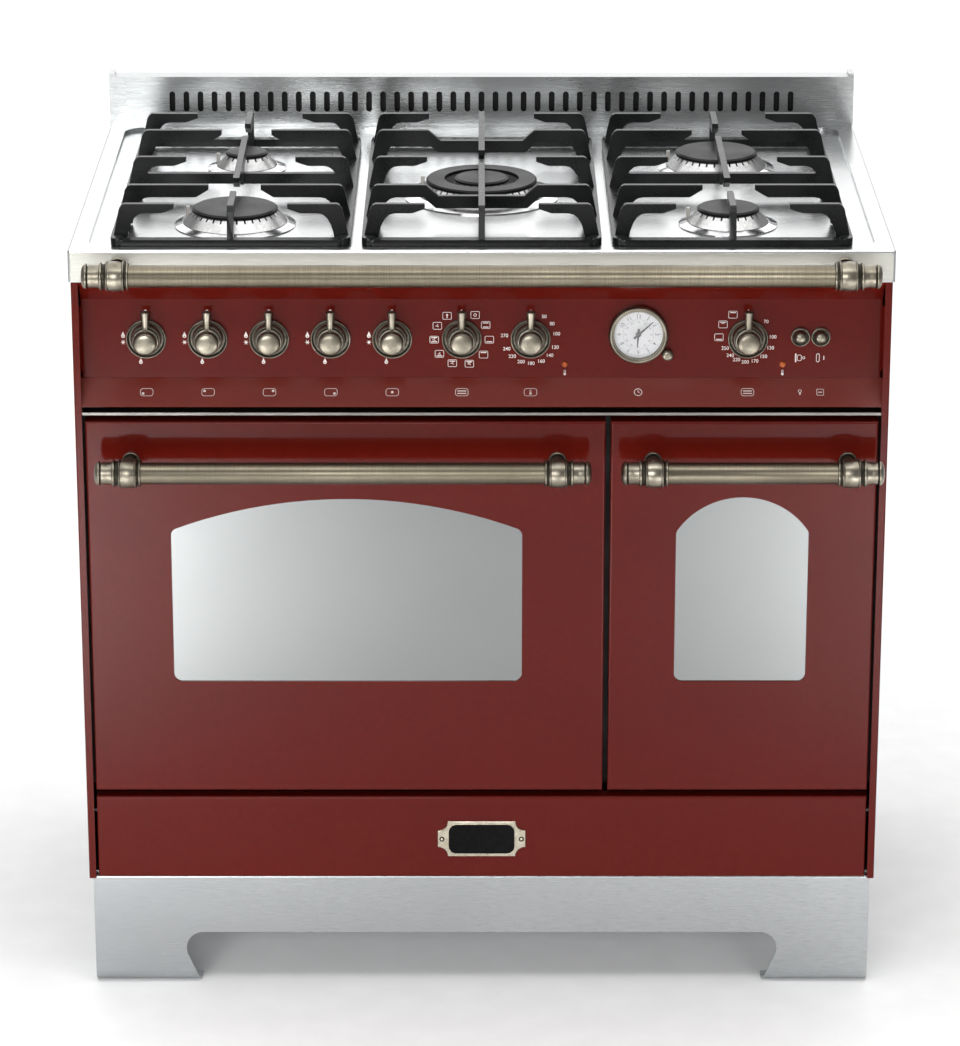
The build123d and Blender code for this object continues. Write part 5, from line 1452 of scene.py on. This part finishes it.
@dataclass
class Hob(Assembly):
    """The steel hob with its burners and cast supports."""

    hob_top: float = 0.887
    apron_height: float = 36.0
    edge_round: float = 3.0
    apron_hem: float = 1.0
    baffle_side: float = 15.0
    baffle_rim: float = 7.0
    baffle_depth: float = 12.0
    baffle_drop: float = 3.0
    support_round: float = 1.2

    def apron(self) -> None:
        """Lays a satin face on the front of the apron, tinted beige as a painted reflection of the bronze
        rail.
        """
        low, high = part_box("hob_top")
        width = (high.x - low.x) / MM - 2 * self.edge_round
        height = self.apron_height - self.edge_round - self.apron_hem
        place = facing((low.x + high.x) / 2, low.y, self.hob_top - (self.edge_round + height / 2) * MM)
        face = Shape()
        face.plate(rounded(width, height, radius=0.8, steps=3), low=-0.4, high=0.15, place=place, chamfer=0.1)
        self.shop.add(face, "apron_face", (RAIL_TINTED_STEEL,), "body", "stainless")

    def baffle(self) -> None:
        """Hangs a black sheet behind the slots of the backsplash, painted shade for the dark inside of the
        slots.
        """
        low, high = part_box("backsplash")
        width = (high.x - low.x) / MM - 2 * self.baffle_side
        height = (high.z - low.z) / MM - 2 * self.baffle_rim
        middle = self.shop.middle("backsplash")
        place = facing(middle.x, high.y - self.baffle_depth * MM, middle.z - self.baffle_drop * MM)
        baffle = Shape()
        baffle.plate(rounded(width, height, radius=4.0), low=0.0, high=1.5, place=place, chamfer=0.4)
        self.shop.add(baffle, "splash_shade_sheet", (SHADE_BLACK,), "body", "stainless")

    def build(self) -> None:
        """Finishes the hob."""
        self.shop.dress(STEEL, "hob_top")
        # The backsplash takes a darker copy of the hob's steel, painted shade for its upright face.
        self.shop.dress(SHADED_SPLASH_STEEL, "backsplash")
        self.apron()
        self.baffle()
        self.shop.dress(CUP_STEEL, "burner_cups")
        self.shop.dress(ALLOY, "burner_heads")
        self.shop.dress(CAP, "burner_caps")
        self.shop.dress(CERAMIC, "spark_electrodes")
        supports = [f"pan_support_{side}" for side in ("left", "centre", "right")]
        self.shop.dress(IRON, *supports)
        self.shop.ease(self.support_round, *supports)


@dataclass
class Ovens(Assembly):
    """The two doors and the cavities behind them."""

    doors: tuple[str, ...] = ("main_door", "small_door")

    def build(self) -> None:
        """Finishes the doors and ovens."""
        for door in self.doors:
            self.shop.dress(RED, f"{door}_panel")
            self.shop.dress(MIRROR, f"{door}_window")
            self.shop.dress(SMOKED, f"{door}_inner_glass")
            self.shop.dress(PLATED, f"{door}_hinges")
        self.shop.dress(OVEN, "main_oven_liner", "small_oven_liner")
        self.shop.dress(SEAL, "oven_gaskets")
        self.shop.dress(CHROME, "oven_racks", "convection_fan")
        self.shop.dress(PLATED, "fan_cover", "heating_elements")


class PlateBand(IntEnum):
    """The finishes of the drawer's plate."""

    FIELD = 0
    BRASS = 1
    DARK = 2


@dataclass
class Drawer(Assembly):
    """The storage drawer and its bare plate."""

    plate_width: float = 100.0
    plate_height: float = 43.0
    scoop: float = 11.5
    scoop_steps: int = 10
    field_width: float = 76.0
    field_height: float = 36.6
    field_round: float = 9.6
    field_front: float = 2.2
    bead_radius: float = 0.5
    rivet_reach: float = 45.4

    def outline(self) -> list[Flat]:
        """The plate's outline: a rectangle with a hollow round at each corner.

        Returns:
            Corners, anticlockwise.
        """
        found = []
        for quarter, (side, rise) in enumerate(CORNERS):
            for step in range(self.scoop_steps + 1):
                angle = math.pi / 2 * (quarter + 3 - step / self.scoop_steps)
                x = side * self.plate_width / 2 + self.scoop * math.cos(angle)
                y = rise * self.plate_height / 2 + self.scoop * math.sin(angle)
                found.append((x, y))
        return found

    @staticmethod
    def rivet_profile() -> Profile:
        """A rivet in its dark ring, from the plate to its domed head.

        Returns:
            Its profile.
        """
        brass, dark = PlateBand.BRASS, PlateBand.DARK
        return Profile([
            (3.0, 2.0, dark), (3.0, 2.3, dark), (1.7, 2.4, dark), (1.6, 2.7, brass), (1.1, 3.1, brass),
            (0.0, 3.2, brass)])

    def build(self) -> None:
        """Finishes the drawer and makes its plate."""
        self.shop.dress(RED, "drawer_front")
        self.shop.dress(ZINC, "drawer_box")
        middle, back = self.shop.middle("name_plate"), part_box("name_plate")[1].y
        place = facing(middle.x, back, middle.z)
        edge = rounded(self.field_width, self.field_height, self.field_round, steps=10)
        plate = Shape()
        plate.plate(self.outline(), low=0.0, high=2.1, place=place, chamfer=0.5, band=PlateBand.BRASS)
        plate.plate(edge, low=1.8, high=self.field_front, place=place, chamfer=0.05, band=PlateBand.FIELD)
        plate.bead(edge, self.field_front, self.bead_radius, place, PlateBand.BRASS)
        for side in (-1, 1):
            plate.turn(self.rivet_profile(), shifted(place, side * self.rivet_reach, 0.0), steps=32)
        finishes = (FIELD, PLATE_BRASS, PATINA_AND_SHADE)
        self.shop.add(plate, "drawer_plate", finishes, "drawer", "aged_brass", "name_plate")


@dataclass(frozen=True)
class Softbox:
    """A soft rectangular light, in metres and watts."""

    name: str
    at: tuple[float, float, float]
    aim: tuple[float, float, float]
    wide: float
    high: float
    power: float

    def hang(self) -> None:
        """Hangs the light, out of the camera's sight."""
        lamp = bpy.data.lights.new(self.name, "AREA")
        lamp.shape = "RECTANGLE"
        lamp.size = self.wide
        lamp.size_y = self.high
        lamp.energy = self.power
        holder = bpy.data.objects.new(self.name, lamp)
        holder.location = self.at
        holder.rotation_euler = (Vector(self.aim) - Vector(self.at)).to_track_quat("-Z", "Y").to_euler()
        holder.visible_camera = False
        bpy.context.scene.collection.objects.link(holder)


@dataclass
class Studio:
    """A pale floor, soft lights and the camera, in metres, with its lens and sensor in millimetres."""

    floor_half: float = 24.0
    sky: float = 0.32
    sensor: float = 36.0
    lens: float = 146.69
    camera_at: tuple[float, float, float] = (-0.0023, -4.7415, 2.1059)
    camera_pitch: float = 18.913
    shift_x: float = 0.0004
    lights: tuple[Softbox, ...] = (
        Softbox("top_light", (0.0, 1.4, 2.8), (0.0, 1.4, 0.0), 5.0, 5.2, 120.0),
        Softbox("floor_light", (0.0, 5.8, 3.2), (0.0, 5.8, 0.0), 7.0, 3.4, 125.0),
        Softbox("brow_light", (0.0, -1.15, 2.5), (0.0, -0.3, 0.7), 2.4, 0.5, 14.0),
        Softbox("back_light", (0.0, 8.0, 2.6), (0.0, 0.0, 0.9), 8.0, 3.4, 72.0),
        Softbox("key_light", (-1.2, -4.8, 2.0), (0.0, 0.0, 0.6), 2.4, 1.2, 90.0),
        Softbox("left_pool", (-0.8, -1.7, 0.35), (-0.8, -1.7, 0.0), 0.4, 1.4, 33.0),
        Softbox("right_pool", (0.8, -1.7, 0.35), (0.8, -1.7, 0.0), 0.4, 1.4, 20.0))

    def floor(self) -> None:
        """Lays the floor."""
        half = self.floor_half / MM
        shape = Shape()
        shape.patch(square(-half, half, -half, half), Matrix.Identity(4))
        shape.made("studio_floor", (FLOOR,))

    def light(self) -> None:
        """Hangs the lights and whitens the sky."""
        world = bpy.data.worlds.new("studio_sky")
        world.use_nodes = True
        background = world.node_tree.nodes["Background"]
        background.inputs["Color"].default_value = (1.0, 1.0, 1.0, 1.0)
        background.inputs["Strength"].default_value = self.sky
        bpy.context.scene.world = world
        for softbox in self.lights:
            softbox.hang()

    def camera(self) -> None:
        """Sets up the camera."""
        data = bpy.data.cameras.new("front_camera")
        data.lens = self.lens
        data.sensor_width = self.sensor
        data.shift_x = self.shift_x
        holder = bpy.data.objects.new("front_camera", data)
        holder.location = self.camera_at
        holder.rotation_euler = (math.radians(90.0 - self.camera_pitch), 0.0, 0.0)
        bpy.context.scene.collection.objects.link(holder)
        bpy.context.scene.camera = holder

    def build(self) -> None:
        """Sets up the studio."""
        bpy.context.scene.view_settings.view_transform = "Standard"
        self.floor()
        self.light()
        self.camera()


def handle(shop: Workshop, door: str, left: float, right: float) -> Bar:
    """The handle of the main or small oven's door, between its two ends."""
    names = f"{door}_handle_bar", f"{door}_door", f"{door}_door_handle"
    return Bar(shop, *names, left, right, seat_y=DOOR_Y, axis_y=HANDLE_Y, axis_z=HANDLE_Z)


def main() -> None:
    """Dresses the cooker and sets up the studio."""
    logging.basicConfig(level=logging.INFO, format="%(name)s: %(message)s")
    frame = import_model()
    shop = Workshop(frame)
    rail = Bar(
        shop, "hob_rail_bar", "body", "hob_rail", left=-0.432, right=0.432, seat_y=-0.27175, axis_y=-0.31175,
        axis_z=0.869)
    assemblies: tuple[Assembly, ...] = (
        Casing(shop),
        Hob(shop),
        Ovens(shop),
        Drawer(shop),
        rail,
        handle(shop, "main", left=-0.426, right=0.121),
        handle(shop, "small", left=0.153, right=0.443),
        Knobs(shop),
        Clock(shop),
        PanelPrint(shop))
    for assembly in assemblies:
        assembly.build()
    Studio().build()


if __name__ == "__main__":
    main()
